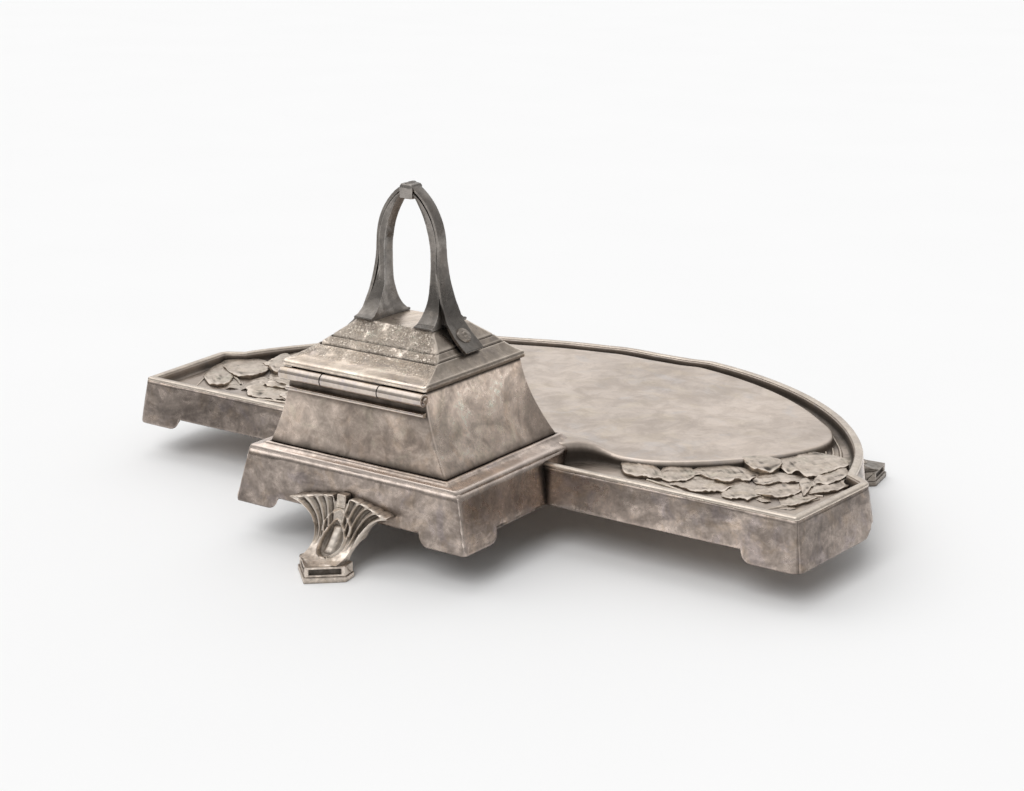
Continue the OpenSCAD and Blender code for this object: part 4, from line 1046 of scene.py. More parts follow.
def build_handle():
    V, F = [], []
    # outer and inner curves, matched point by point from the crown down
    ang = np.linspace(0, 1, 26)
    for s in (1, -1):
        secs, fill_secs = [], []
        pts = []
        for a in ang:
            zo = 104 + 20.9 * math.cos(a * math.pi / 2) if a < 1 else 104
            th = math.acos(min(1, 9.95 / 23.15)) * (1 - a)
            ox, oz = -9.95 + 23.15 * math.cos(th), 104 + 23.15 * math.sin(th)
            th2 = math.asin(min(1, 23.8 / 33.8)) * (1 - a)
            ix, iz = -24 + 33.8 * math.cos(th2), 100 + 33.8 * math.sin(th2)
            iz = lerp(iz, iz, 1)
            pts.append(((max(0.0, ix), iz), (ox, oz)))
        for z in list(np.linspace(101.5, 94, 5)) + list(np.linspace(92, 79.4, 12)) + [78.9, 78.4, 78.0, 77.62]:
            pts.append(((inner_x(z - 1.0 if z > 96 else z), z - (2.5 if z > 100 else 2.5 * max(0, (z - 94) / 6)) if z > 94 else z), (outer_x(z), z)))
        for (ix, iz), (ox, oz) in pts:
            # core: flanged bar
            d = np.array([ox - ix, oz - iz])
            L = max(0.5, np.linalg.norm(d))
            d = d / L
            wall = 1.62
            cx, cz = ox - d[0] * wall, oz - d[1] * wall
            if oz < 94:
                cx = min(ox - 1.52, 15.7 + 0.18 * max(0, 82 - oz))
                cx = max(cx, ix + 2.4)
            y = min(flare(min(iz, oz)), 9.9)
            if oz < 78.8:
                y = 10.75 if oz > 78.2 else (10.9 if oz > 77.9 else 10.5)
            dep = 0.26 if oz > 79 else 0.12
            sec = []
            for k in range(7):
                t = k / 6
                hol = dep * (1 - abs(2 * t - 1) ** 2.5)
                sec.append((s * lerp(ix, cx, t), HY + y - hol, lerp(iz, cz, t)))
            for k in range(1, 4):
                sec.append((s * cx, HY + y * (1 - k / 2), cz))
            for k in range(1, 7):
                t = 1 - k / 6
                hol = dep * (1 - abs(2 * t - 1) ** 2.5)
                sec.append((s * lerp(ix, cx, t), HY - y + hol, lerp(iz, cz, t)))
            for k in range(1, 4):
                q = k / 4
                yy = -y + 2 * y * q
                bow = 0.45 * (1 - (2 * q - 1) ** 2) * (1 if oz < 110 else 0.4)
                sec.append((s * (ix + bow), HY + yy, iz))
            secs.append(sec)
            if oz > 78.5:
                g = float(np.interp(oz, [79, 84, 92, 98], [4.7, 3.7, 2.3, 1.7]))
                hx2, hz2 = ox - d[0] * 0.5, oz - d[1] * 0.5
                mx_, mz_ = ox - d[0] * 2.2, oz - d[1] * 2.2
                if oz < 94:
                    mx_ = min(mx_, cx - 0.4)
                # filler toned 0.30: painted shade in the gap between strap and core
                fill_secs.append([(s * mx_, HY + g, mz_, 0.30), (s * hx2, HY + g, hz2, 0.30), (s * hx2, HY - g, hz2, 0.30), (s * mx_, HY - g, mz_, 0.30)])
        section_grid(V, F, secs)
        section_grid(V, F, fill_secs)
    piece("handle_core", V, F, "handle", "lid", "handle_arch", sharp=32, wob=(0.12, 0.16, 6.6), bevel=0.28)
    # outer straps that run down to the rivets
    V, F = [], []
    for s in (1, -1):
        path = []
        for a in np.linspace(0.0, 1, 24):
            th = math.acos(9.95 / 23.15) * (1 - a)
            path.append((-9.95 + 23.15 * math.cos(th), 104 + 23.15 * math.sin(th)))
        for z in np.linspace(102, 79.5, 16):
            path.append((outer_x(z), z))
        e = np.array([math.sin(math.radians(47.6)), -math.cos(math.radians(47.6))])
        p0 = np.array(path[-1])
        tgt = np.array([21.7, 75.1]) + np.array([0.674, 0.738]) * 0.05
        for q in (0.35, 0.7, 1.0):
            path.append(tuple(p0 + (tgt - p0) * q))
        for q in (1.5, 3.2, 5.0, 6.3, 6.7):
            path.append(tuple(tgt + e * q))
        P = np.array(path)
        T = np.gradient(P, axis=0)
        T /= np.linalg.norm(T, axis=1)[:, None]
        N = np.stack([-T[:, 1], T[:, 0]], 1)           # outward
        N[N[:, 0] < 0] *= -1
        N[0] = (0.42, 0.907)
        secs = []
        for i, (p, nn) in enumerate(zip(P, N)):
            z = p[1]
            hw = 2.35 if z > 100 else (lerp(2.35, 4.3, (100 - z) / 18) if z > 82 else lerp(4.3, 5.3, min(1, (82 - z) / 9)))
            th = 1.25
            tail = max(0, i - (len(P) - 4))
            hw2 = hw - (0.0, 0.0, 0.25, 0.7)[tail] if tail else hw
            sec = []
            m = 8
            for k in range(m + 1):
                t = -1 + 2 * k / m
                crown = 0.22 * (1 - t * t) if z > 84 else 0.16 * abs(t) ** 4
                q = p + nn * (crown - 0.1 - (0.35 if tail == 3 else 0))
                sec.append((s * q[0], HY + hw2 * t, q[1]))
            for k in range(m, -1, -1):
                t = -1 + 2 * k / m
                q = p - nn * (th - (0.35 if tail == 3 else 0))
                sec.append((s * q[0], HY + (hw2 - 0.12) * t, q[1]))
            secs.append(sec)
        section_grid(V, F, secs)
    piece("handle_straps", V, F, "handle", "lid", None, sharp=32, wob=(0.10, 0.16, 1.6), bevel=0.22)
    # keystone: a small flat-faced block with worn corners
    V, F = [], []
    z0, z1 = 119.3, 124.45
    secs = []
    for z, ins in ((z0, 0.35), (z0 + 0.3, 0.05), (z0 + 1.6, 0.0), (z0 + 3.4, 0.0), (z1 - 0.9, 0.1), (z1 - 0.3, 0.5), (z1, 1.2)):
        sec = []
        bx, by, rc = 2.7 - ins * 0.7, 3.05 - ins, 0.45
        for qx, qy, a0 in ((1, 1, 0), (-1, 1, 90), (-1, -1, 180), (1, -1, 270)):
            for k in range(4):
                a = math.radians(a0 + 30 * k)
                sec.append((qx * (bx - rc) + rc * math.cos(a), HY + qy * (by - rc) + rc * math.sin(a), z, 0.74))
        secs.append(sec)
    section_grid(V, F, secs)
    piece("handle_keystone", V, F, "handle", "lid", None, sharp=30, wob=(0.14, 0.9, 9.6), bevel=0.2)


build_handle()

# ---------------------------------------------------------------------------
# leaf sprays in the corners of the tray
# ---------------------------------------------------------------------------
RIM_IN = rim_loop(3.9)


def keep_in_tray(P):
    """Moves plan points that would pass the rim's inner face back inside it."""
    q = P[:, :2]
    poly = RIM_IN
    ins = inside(q, poly)
    bad = np.where(~ins & (q[:, 1] < 2))[0]
    if len(bad):
        a, b = poly, np.roll(poly, -1, 0)
        ab = b - a
        l2 = (ab ** 2).sum(1) + 1e-12
        s = q[bad]
        t = np.clip(((s[:, None] - a[None]) * ab[None]).sum(2) / l2[None], 0, 1)
        near = a[None] + ab[None] * t[..., None]
        k = ((s[:, None] - near) ** 2).sum(2).argmin(1)
        P[bad, :2] = near[np.arange(len(bad)), k]
    return P


SAX, WAX = np.array([-0.8235, -0.5674]), np.array([-0.5674, 0.8235])     # along the leaves, and towards their lifted edges


def leaf(V, F, zf, zn, stations, seed, mirror):
    """One thin cast leaf lying like a shingle: stations of (along, tucked edge, lifted edge), closed down to the ground."""
    st = np.array(stations)
    ns, nt = max(26, int((st[-1, 0] - st[0, 0]) / 0.45)), 15
    u = np.linspace(0, 1, ns)
    tt = np.linspace(0, 1, len(st))
    S, WF, WN = (np.interp(u, tt, st[:, i]) for i in range(3))
    for _ in range(3):
        for A in (S, WF, WN):
            A[1:-1] = 0.5 * A[1:-1] + 0.25 * (A[:-2] + A[2:])
    rows = []
    # leaves on the channel floor lie flat on one another, those on the pan keep their height
    lo_f, lo_n = (27.4 + (zf - 27.0) * 0.72, 27.35 + (zn - 27.6) * 0.72) if zf < 30 else (zf, zn)
    for k in range(-1, nt + 3):
        t = min(1.0, max(0.0, k / (nt - 1)))
        row = []
        for i in range(ns):
            env = math.sin(math.pi * u[i]) ** 0.45 if 0 < u[i] < 1 else 0.0
            s_, wf, wn = S[i], WF[i], WN[i]
            sc = 0.42 * noise.noise(Vector((s_ * 0.42, seed, 1.7))) + 0.30 * noise.noise(Vector((s_ * 1.15, seed, 5.1)))
            wn = wn + sc * env * 1.3
            w_ = wf + (wn - wf) * t
            z = lo_f + (lo_n - lo_f) * t ** 1.3 + 0.30 * math.sin(math.pi * t) * env
            z -= 0.45 * (1 - env)
            vein = math.cos(2 * math.pi * (3.2 * t + 0.8 * math.sin(2.2 * u[i] + seed) + 0.25 * u[i]))
            # crumpled folds that fan out from the tucked edge to the lifted one
            fo = noise.noise(Vector((s_ * 0.34 + 0.10 * w_, seed * 1.7, 2.0 + 0.3 * t)))
            fo2 = noise.noise(Vector((s_ * 0.85 - 0.22 * w_, seed * 0.9, 6.0)))
            z += 0.07 * vein * env * math.sin(math.pi * t)
            z += 0.75 * fo * env * t + 0.42 * fo2 * env * t
            z += 0.26 * noise.noise(Vector((s_ * 0.16, w_ * 0.22, seed * 1.3))) * env
            fo3 = noise.noise(Vector((s_ * 0.22 + 0.35 * w_, w_ * 0.20 - s_ * 0.12, seed * 2.3)))
            ph = s_ / 2.3 + 0.16 * (w_ - wf) * (1 if u[i] < 0.5 else -1) + 0.35 * noise.noise(Vector((s_ * 0.3, seed, 9.0)))
            rib = math.exp(-(math.sin(math.pi * ph) / 0.24) ** 2) * env * min(1.0, 3 * t) * (1 - 0.4 * t)
            z += 0.13 * rib
            mid_v = math.exp(-((t - 0.45 - 0.22 * (u[i] - 0.5)) / 0.05) ** 2)
            z += 0.16 * fo3 * env - 0.14 * mid_v * env
            # painted light on the leaf: lighter on raised folds and ribs, painted shadow along the tucked edge, painted
            # shade in the midrib, the trough and the undercut, painted highlight on the lifted lip
            tone = 0.52 + 0.04 * vein * env + 0.45 * min(0.0, fo + 0.10) * t + 0.20 * fo2 + 0.36 * fo3 + 0.17 * rib - 0.02 - 0.12 * mid_v * env - 0.16 * max(0.0, 1 - t / 0.25)
            if k in (nt - 4, nt - 5):
                z -= 0.16 * env
                tone -= 0.10
            if k >= nt - 2:
                z += 0.30 * env
                tone = 0.82 + 0.50 * noise.noise(Vector((s_ * 0.45, seed, 3.3)))
            if k == nt - 3:
                tone += 0.03
            if k == -1:
                w_, tone = wf - 0.3, 0.28
            elif k == nt:
                w_, z, tone = wn - 0.10, z - 0.30, 0.40
            elif k == nt + 1:
                w_, z, tone = wn - 0.20, z - 0.5, 0.28
            elif k == nt + 2:
                w_, tone = wn - 0.25, 0.26
            p = SAX * s_ + WAX * w_
            row.append([p[0], p[1], z, tone])
        rows.append(row)
    P = np.array(rows).reshape(-1, 4)
    P[:, :3] = keep_in_tray(P[:, :3].copy())
    g = surface_z(P[:, :2])
    low = np.zeros(len(P), bool)
    low[:ns] = True
    low[-ns:] = True
    g0 = np.minimum(g, FLOOR_Z + 0.2) + lift(P[:, :2])
    over = g > 29.0
    if zf < 30:
        P[:, 2] = np.where(over, np.minimum(P[:, 2], g - 0.25), np.maximum(P[:, 2], g0 + 0.10))
    else:
        P[:, 2] = np.maximum(P[:, 2], g + 0.08)
    P[:, 2] = np.where(low, g0 - 0.25, np.minimum(P[:, 2], 30.98 if zf < 30.3 else 32.6))
    if mirror:
        P[:, 0] *= -1
    P = P.reshape(nt + 4, ns, 4)
    rows_to_faces(V, F, [[tuple(q) for q in r] for r in P], False)


def stem(V, F, pts, r0, r1, seg=7):
    """A raised stem lying on the channel floor."""
    P = np.array(pts, float)
    t = np.linspace(0, 1, len(P))
    tt = np.linspace(0, 1, 40)
    S = np.stack([np.interp(tt, t, P[:, 0]), np.interp(tt, t, P[:, 1])], 1)
    for _ in range(12):
        S[1:-1] = 0.5 * S[1:-1] + 0.25 * (S[:-2] + S[2:])
    T = np.gradient(S, axis=0)
    T /= np.linalg.norm(T, axis=1)[:, None]
    g = surface_z(S)
    g = np.where(g > FLOOR_Z + 0.8, FLOOR_Z - 0.6, g + lift(S))
    rows = []
    for i, (p, d) in enumerate(zip(S, T)):
        r = lerp(r0, r1, tt[i]) * (1 + 0.12 * math.sin(9 * tt[i] + r0 * 7))
        nn = np.array([-d[1], d[0]])
        row = []
        # stem tone: painted highlight along the top, painted shade down the sides
        for k in range(seg):
            a = math.pi * k / (seg - 1)
            q = p + nn * r * math.cos(a)
            row.append((q[0], q[1], g[i] - 0.25 + (r * 0.9 + 0.25) * math.sin(a), 0.24 + 0.30 * math.sin(a) ** 2))
        rows.append(row)
    rows_to_faces(V, F, rows, False)


RIGHT_LEAVES = [   # tucked height, lifted height, (along, tucked edge, lifted edge) in millimetres
    (29.4, 29.3, [(117.9, 17.2, 18.1), (119.4, 12.1, 24.2), (120.5, 10.2, 27.8), (123.1, 7.6, 25.1), (124.7, 6.3, 26.8), (125.7, 5.0, 30.7), (127.6, 4.3, 30.3), (129.8, 4.2, 30.6), (132.8, 4.8, 28.2), (135.9, 6.7, 25.1), (138.4, 7.9, 21.4), (140.5, 9.8, 20.4), (142.8, 11.6, 16.4)]),
    (30.1, 29.6, [(106.2, 14.3, 15.0), (106.9, 13.8, 20.5), (108.3, 13.3, 25.4), (110.1, 13.0, 26.3), (111.8, 12.9, 28.0), (114.3, 12.6, 28.9), (117.0, 14.0, 25.2), (119.5, 16.4, 17.8)]),
    (28.3, 29.2, [(87.5, 23.7, 29.7), (89.9, 20.6, 28.2), (91.5, 19.3, 31.1), (94.2, 18.0, 34.6), (97.0, 16.7, 36.6), (99.5, 17.3, 37.5), (102.1, 19.1, 34.5), (104.7, 20.2, 34.4), (106.6, 21.4, 34.0), (108.8, 22.4, 30.8), (111.0, 23.8, 28.0)]),
    (28.0, 29.1, [(107.7, 29.5, 34.1), (108.5, 27.1, 37.0), (109.8, 25.3, 38.7), (111.4, 24.0, 40.4), (113.4, 23.7, 39.2), (115.5, 23.7, 37.1), (117.8, 24.5, 36.6), (120.0, 25.7, 37.0), (122.4, 26.8, 36.1), (124.5, 29.2, 34.3)]),
    (28.3, 29.2, [(128.1, 33.0, 37.5), (129.9, 27.6, 38.2), (132.0, 23.3, 38.5), (134.0, 20.8, 37.7), (136.3, 18.3, 34.9), (138.7, 16.4, 31.3), (141.3, 15.1, 25.9)]),
    (27.9, 28.9, [(106.3, 42.2, 46.3), (107.9, 39.2, 48.5), (110.2, 36.8, 50.4), (112.3, 36.2, 51.5), (114.4, 36.2, 51.7), (116.8, 35.5, 50.6), (119.2, 34.3, 48.8), (121.7, 33.7, 46.7), (124.1, 33.0, 39.6)]),
    (27.6, 28.6, [(79.4, 34.3, 38.4), (81.9, 32.4, 40.1), (85.2, 30.0, 44.7), (88.4, 28.7, 46.3), (91.7, 28.7, 46.2), (94.0, 29.0, 45.3), (96.9, 29.7, 45.7), (99.1, 30.3, 41.5), (101.5, 30.8, 39.7), (104.3, 32.0, 37.9), (105.9, 32.8, 36.7)]),
    (27.7, 28.8, [(95.5, 45.8, 50.2), (96.6, 40.6, 52.2), (98.2, 36.5, 53.5), (100.5, 34.1, 52.9), (102.7, 32.3, 52.5), (103.4, 32.6, 55.8), (105.3, 35.2, 51.6), (107.2, 39.8, 51.0), (108.8, 44.4, 49.9)]),
    (28.4, 29.4, [(122.3, 41.6, 50.2), (123.0, 34.5, 50.0), (124.4, 31.6, 46.8), (126.1, 31.5, 41.0), (127.2, 35.1, 39.8)]),
    (27.7, 28.6, [(123.5, 40.6, 46.7), (124.8, 36.5, 47.8), (127.1, 34.1, 47.6), (130.1, 32.5, 46.8), (132.9, 31.3, 45.2), (136.0, 29.8, 41.9), (138.7, 28.6, 38.9), (141.1, 30.3, 36.6)]),
    (27.4, 28.4, [(114.0, 51.3, 57.0), (115.4, 46.7, 58.8), (117.1, 45.0, 59.4), (118.9, 43.8, 59.1), (121.3, 43.2, 57.2), (123.9, 43.4, 54.6), (126.1, 44.8, 52.0), (127.8, 45.9, 50.0)]),
    (27.2, 28.0, [(106.4, 48.1, 52.1), (107.6, 46.3, 54.3), (109.3, 46.9, 55.6), (111.2, 49.6, 54.8)]),
    (27.0, 27.6, [(112.6, 58.1, 60.9), (114.6, 56.8, 62.2), (116.3, 56.9, 62.6), (118.2, 58.7, 61.7)]),
]
RIGHT_INNER = [
    (28.6, 28.9, [(64.1, 16.5, 22.4), (64.7, 10.2, 27.8), (66.9, 9.5, 30.2), (69.8, 10.1, 31.6), (72.0, 11.9, 32.1), (74.2, 15.0, 32.4), (76.5, 21.2, 32.7), (78.0, 28.4, 32.3)]),
    (28.3, 28.8, [(77.0, 25.1, 32.6), (78.9, 18.9, 34.9), (80.7, 17.1, 35.5), (83.0, 16.4, 35.4), (85.6, 17.6, 34.8), (87.8, 20.0, 31.2), (88.8, 22.4, 28.2)]),
]
LEFT_LEAVES = [
    (28.6, 29.4, [(-91.8, -116.1, -111.4), (-89.5, -117.4, -104.6), (-86.2, -118.0, -96.6), (-83.4, -118.4, -92.1), (-80.5, -118.4, -90.0), (-76.9, -117.8, -89.5), (-74.6, -115.6, -92.3), (-72.5, -113.1, -96.6), (-71.3, -109.7, -101.6)]),
    (28.0, 29.0, [(-96.1, -99.4, -93.3), (-93.7, -110.9, -84.3), (-91.2, -113.0, -79.5), (-88.4, -111.0, -78.0), (-85.8, -108.0, -78.0), (-84.3, -99.6, -82.9), (-84.1, -96.3, -87.8)]),
    (30.6, 29.8, [(-71.3, -107.5, -103.6), (-68.7, -117.1, -95.2), (-66.4, -119.8, -93.6), (-64.5, -118.1, -97.0), (-62.2, -114.6, -100.4)]),
    (28.2, 29.0, [(-70.2, -96.0, -90.6), (-67.1, -99.4, -84.9), (-64.5, -99.4, -81.0), (-61.2, -98.7, -78.6), (-58.0, -97.9, -77.1)]),
    (27.8, 28.8, [(-78.5, -80.1, -73.4), (-76.7, -87.3, -74.2), (-74.2, -90.7, -74.9), (-71.8, -91.5, -76.7), (-69.5, -90.0, -79.1), (-67.1, -86.8, -80.8)]),
    (27.2, 28.0, [(-88.4, -82.7, -77.5), (-85.5, -86.8, -75.2), (-82.0, -87.7, -75.0), (-79.0, -84.6, -75.7)]),
    (27.3, 28.3, [(-71.1, -68.6, -63.6), (-67.5, -76.5, -62.2), (-64.0, -79.0, -61.5), (-60.5, -79.0, -60.0), (-57.8, -78.3, -59.3)]),
]
STEMS = [
    ([(84, -8.2), (90, -7.5), (97, -8.5)], 0.6, 0.4),
    ([(78, -14), (88, -12), (98, -9), (108, -7)], 0.7, 0.5),
    ([(119, -66), (117, -76), (112, -85), (104, -94), (94, -103)], 1.0, 0.3),
    ([(123, -66), (120, -76), (114, -87), (106, -97.5), (98, -105.5), (88, -112)], 0.8, 0.25),
    ([(115, -68), (114, -76), (110, -83), (103, -92)], 0.6, 0.25),
    ([(112, -22), (118, -27), (126, -31), (134, -33)], 0.7, 0.5),
    ([(124, -9), (130, -20), (134, -30)], 0.6, 0.4),
]


def build_sprays():
    V, F = [], []
    for n, (zf, zn, st) in enumerate(RIGHT_LEAVES + RIGHT_INNER):
        leaf(V, F, zf, zn, st, 3.1 + n * 7.7, False)
    for pts, r0, r1 in STEMS:
        stem(V, F, [(-x, y) for x, y in pts], r0, r1)
    piece("leaf_relief_right", V, F, "relief", "base", "leaf_spray_right", sharp=50)
    V, F = [], []
    for n, (zf, zn, st) in enumerate([RIGHT_LEAVES[i] for i in (2, 6, 0, 1)] + RIGHT_INNER):
        W, G = [], []
        leaf(W, G, zf, zn, st, 43.1 + n * 5.3, False)
        b = len(V)
        V += [(-x, y, z, a) for x, y, z, a in W]
        F += [tuple(b + i for i in f) for f in G]
    for n, (zf, zn, st) in enumerate(LEFT_LEAVES):
        leaf(V, F, zf, zn, st, 83.1 + n * 6.1, False)
    for pts, r0, r1 in STEMS:
        stem(V, F, pts, r0, r1)
    piece("leaf_relief_left", V, F, "relief", "base", "leaf_spray_left", sharp=50)


build_sprays()

# ---------------------------------------------------------------------------
# palmette feet
# ---------------------------------------------------------------------------
FOOT_Y = [(5.75, 15.6), (5.95, 14.6), (6.4, 12.9), (7.3, 10.7), (8.8, 8.4), (10.8, 6.4), (13.0, 4.95), (15.4, 4.0), (17.6, 3.4),
          (19.0, 2.95), (20.5, 2.4), (22.3, 1.85), (24.0, 1.4), (25.4, 1.1)]


def foot_tip(s):
    a = abs(s)
    if a < 0.17:
        return 22.6
    base = lerp(24.6, 21.5, ((a - 0.17) / 0.83) ** 1.25)
    edges = (0.17, 0.37, 0.57, 0.78, 1.0)
    for e0, e1 in zip(edges[:-1], edges[1:]):
        if e0 <= a <= e1:
            q = (a - e0) / (e1 - e0)
            return base + 0.45 * math.sin(math.pi * q) ** 0.6 - 0.3
    return base


def foot_relief(s, x, z, t):
    a = abs(s)
    r = 0.0
    fade = min(1.0, max(0.0, (t - 0.16) / 0.35))
    for c, w in ((0.27, 0.075), (0.47, 0.075), (0.675, 0.08), (0.885, 0.08)):
        r -= 1.15 * max(0.0, 1 - ((a - c) / (w * 1.15)) ** 2) ** 0.8
    for e in (0.30, 0.505, 0.715, 0.925):
        r += 0.42 * math.exp(-((a - e) / 0.016) ** 2)
    for e, h in ((0.17, 0.35), (0.37, 0.75), (0.57, 0.75), (0.78, 0.7), (0.975, 0.8)):
        g = math.exp(-((a - e) / 0.024) ** 2)
        r += (h - r) * g
    r = r * fade
    if t > 0.9 and a > 0.17:
        g = math.exp(-((t - 0.975) / 0.02) ** 2)
        r += (0.5 - r) * g
    # pointed loop and the larger arch round it
    if z > 5.8:
        tau2 = (z - 8.0) / 12.6
        if 0.35 < tau2 < 1:
            hw2 = 5.7 * math.sin(math.pi * min(1, max(0, tau2)) ** 0.9) ** 0.7
            g = math.exp(-((abs(x) - hw2) / 0.38) ** 2)
            r += (0.85 - r) * g
        tau = (z - 6.7) / 10.6
        hw = 4.7 * math.sin(math.pi * min(1, max(0, tau)) ** 0.58) ** 0.66 if 0 < tau < 1 else 0.0
        if 0 < tau < 1:
            ax = abs(x)
            if ax < hw - 0.4:
                r = -1.0
            elif ax < hw + 0.6:
                r = min(r, 0.0)
            g = math.exp(-((ax - hw) / 0.42) ** 2)
            r += (1.0 - r) * g
            if ax < hw - 0.75:
                r = max(r, -1.0 + 1.35 * math.exp(-((x + 0.1) / 1.9) ** 4) * math.sin(math.pi * min(1, max(0, (z - 7.4) / 7.6))) ** 0.5)
    return r


def build_foot(name, node, place, lean, wrap, extra=0.0):
    V, F = [], []
    ns, nt = 141, 84
    ts = [((i / (nt - 1)) ** 1.25) for i in range(nt)]
    front, back = [], []
    # toe rows first: from the leg's end out to the prow
    for q in (1.0, 0.75, 0.5, 0.25):
        rf, rb = [], []
        for j in range(ns):
            s = -1 + 2 * j / (ns - 1)
            x = s * lerp(7.85, 9.75, q)
            ye = 20.6 - abs(x) * 0.93
            y = lerp(15.6 - 0.9 * abs(s) ** 2, ye, q)
            rf.append((x, y, lerp(5.75, 5.2, q)))
            rb.append((x, lerp(8.2, 9.0, q), 2.5))
        front.append(rf)
        back.append(rb)
    for t in ts:
        rf, rb = [], []
        for j in range(ns):
            s = -1 + 2 * j / (ns - 1)
            zt = foot_tip(s)
            z = 5.75 + (zt - 5.75) * t
            z1 = 5.75 + (21.2 - 5.75) * t
            xo = 23.4 - math.sqrt(max(0.0, 15.6 ** 2 - (z1 - 5.8) ** 2))
            x = s * min(xo, 20.9)
            y = curve_at(FOOT_Y, z)
            rel = foot_relief(s, x, z, t)
            wall = -lean * (z - 13.2)
            y -= 0.9 * abs(s) ** 2 * (1 - t) + 0.25 * s * s * t
            # the outer leaves curl forward at their tips
            y += 1.7 * max(0, abs(s) - 0.55) / 0.45 * max(0, t - 0.70) / 0.30
            nz = 0.55 if z < 14 else 0.12
            yy = y + rel * 0.9
            zz = z + rel * nz
            bk = wall - 0.5 if z > 12.0 else -2.6 + math.sqrt(max(0.0, 11.4 ** 2 - (z - 0.4) ** 2))
            bk = max(bk, wall - 0.5)
            bk = min(bk, yy - 1.1)
            # painted light: painted shade in the grooves, painted highlights on the ridges, painted shade on the tips'
            # top edge and on the back
            tone = float(np.interp(rel, [-1.15, -0.75, -0.4, -0.1, 0.08, 0.32, 0.6], [0.18, 0.25, 0.34, 0.45, 0.62, 0.88, 0.97]))
            if rel == 0.0 and z < 9.5:
                tone = 0.52
            tone = min(0.97, tone + (0.10 if tone > 0.6 else 0.0))
            if t > 0.97 and abs(s) > 0.10:
                tone = min(tone, 0.36)
            rf.append((x, yy, zz, tone))
            rb.append((x * 0.985, bk, z - (0.15 if t > 0.98 else 0), 0.3))
        front.append(rf)
        back.append(rb)
    n = ns
    fr = rows_to_faces(V, F, front, False)
    bk = rows_to_faces(V, F, back, False)
    for a, b in zip(fr[:-1], fr[1:]):
        c, d = bk[fr.index(a)], bk[fr.index(b)]
        F.append((a, b, d, c))
        F.append((a + n - 1, b + n - 1, d + n - 1, c + n - 1))
    for j in range(n - 1):
        F.append((fr[-1] + j, fr[-1] + j + 1, bk[-1] + j + 1, bk[-1] + j))
        F.append((fr[0] + j, fr[0] + j + 1, bk[0] + j + 1, bk[0] + j))

    def put(p):
        x, y, z = p[:3]
        y += extra * min(1.0, max(0.0, (y + 2.0) / 10.0)) * min(1.0, max(0.0, (22.0 - z) / 8.0))
        if wrap:
            k = min(1.0, max(0.0, (z - 9.0) / 6.0))
            y -= x * x / (2 * 146.0) * k
        return tuple(place(x, y, z)) + tuple(p[3:])

    piece(name + "_palmette", [put(p) for p in V], F, "feet", "base", node, sharp=65)
    # centre tab
    V, F = [], []
    secs = []
    for y, ins in ((-0.6, 0), (1.9, 0), (2.35, 0.12), (2.6, 0.45)):
        w, z0, z1 = 1.95 - ins, 20.7 + ins, 25.3 - ins
        lean_y = lean * 8
        secs.append([(-w, y, z0), (0, y + 0.05, z0 - 0.1), (w, y, z0), (w, y - 0.3, lerp(z0, z1, 0.5)), (w * 0.96, y - lean_y * 0.6, z1), (0, y - lean_y * 0.6, z1 + 0.15), (-w * 0.96, y - lean_y * 0.6, z1), (-w, y - 0.3, lerp(z0, z1, 0.5))])
    section_grid(V, F, secs)
    piece(name + "_tab", [put(p) for p in V], F, "feet", "base", None, sharp=30, wob=(0.10, 0.9, 5.0), bevel=0.25)
    # prow toe with a recessed panel in each front facet
    V, F = [], []

    def prism(outline, z0, z1):
        a = len(V)
        V.extend([(x, y, z0) for x, y in outline] + [(x, y, z1) for x, y in outline])
        m = len(outline)
        for i in range(m):
            F.append((a + i, a + (i + 1) % m, a + m + (i + 1) % m, a + m + i))
        F.append(tuple(a + i for i in range(m)))
        F.append(tuple(a + m + i for i in range(m)))

    prism([(0, 22), (10.4, 12.6), (9.2, 6.8), (-9.2, 6.8), (-10.4, 12.6)], 0.0, 1.95)
    piece(name + "_base", [put(p) for p in V], F, "feet", "base", None, sharp=20, bevel=0.28)
    V, F = [], []
    top = [(0, 21.25), (9.85, 12.35), (8.9, 7.2), (-8.9, 7.2), (-9.85, 12.35)]
    a = len(V)
    V += [(x, y, 1.9) for x, y in top] + [(x * 0.995, y - 0.05, 5.4) for x, y in top]
    m = 5
    for i in (1, 2, 3):
        F.append((a + i, a + i + 1, a + m + i + 1, a + m + i))
    F.append(tuple(a + i for i in range(m)))
    F.append(tuple(a + m + i for i in range(m)))
    for i, j in ((0, 1), (4, 0)):
        c = [np.array(V[q][:3]) for q in (a + i, a + j, a + m + j, a + m + i)]

        def at(u, v):
            return (c[0] * (1 - u) + c[1] * u) * (1 - v) + (c[3] * (1 - u) + c[2] * u) * v

        nn = np.cross(c[1] - c[0], c[3] - c[0])
        nn /= np.linalg.norm(nn)
        if nn[1] < 0:
            nn = -nn
        fr_ = [at(u, v) for u, v in ((0.085, 0.22), (0.915, 0.22), (0.915, 0.80), (0.085, 0.80))]
        inn = [p - nn * 0.75 for p in [at(u, v) for u, v in ((0.115, 0.28), (0.885, 0.28), (0.885, 0.74), (0.115, 0.74))]]
        # the recessed panels are toned 0.10: painted shade
        b = len(V)
        V.extend([tuple(p) + (0.5,) for p in fr_] + [tuple(p) + (0.10,) for p in inn])
        cid = (a + i, a + j, a + m + j, a + m + i)
        for k in range(4):
            F.append((cid[k], cid[(k + 1) % 4], b + (k + 1) % 4, b + k))
            F.append((b + k, b + (k + 1) % 4, b + 4 + (k + 1) % 4, b + 4 + k))
        F.append((b + 4, b + 5, b + 6, b + 7))
    piece(name + "_toe", [put(p) for p in V], F, "feet", "base", None, sharp=20, bevel=0.16)


def place_rear(x, y, z):
    return (x, y + 51.0, z)


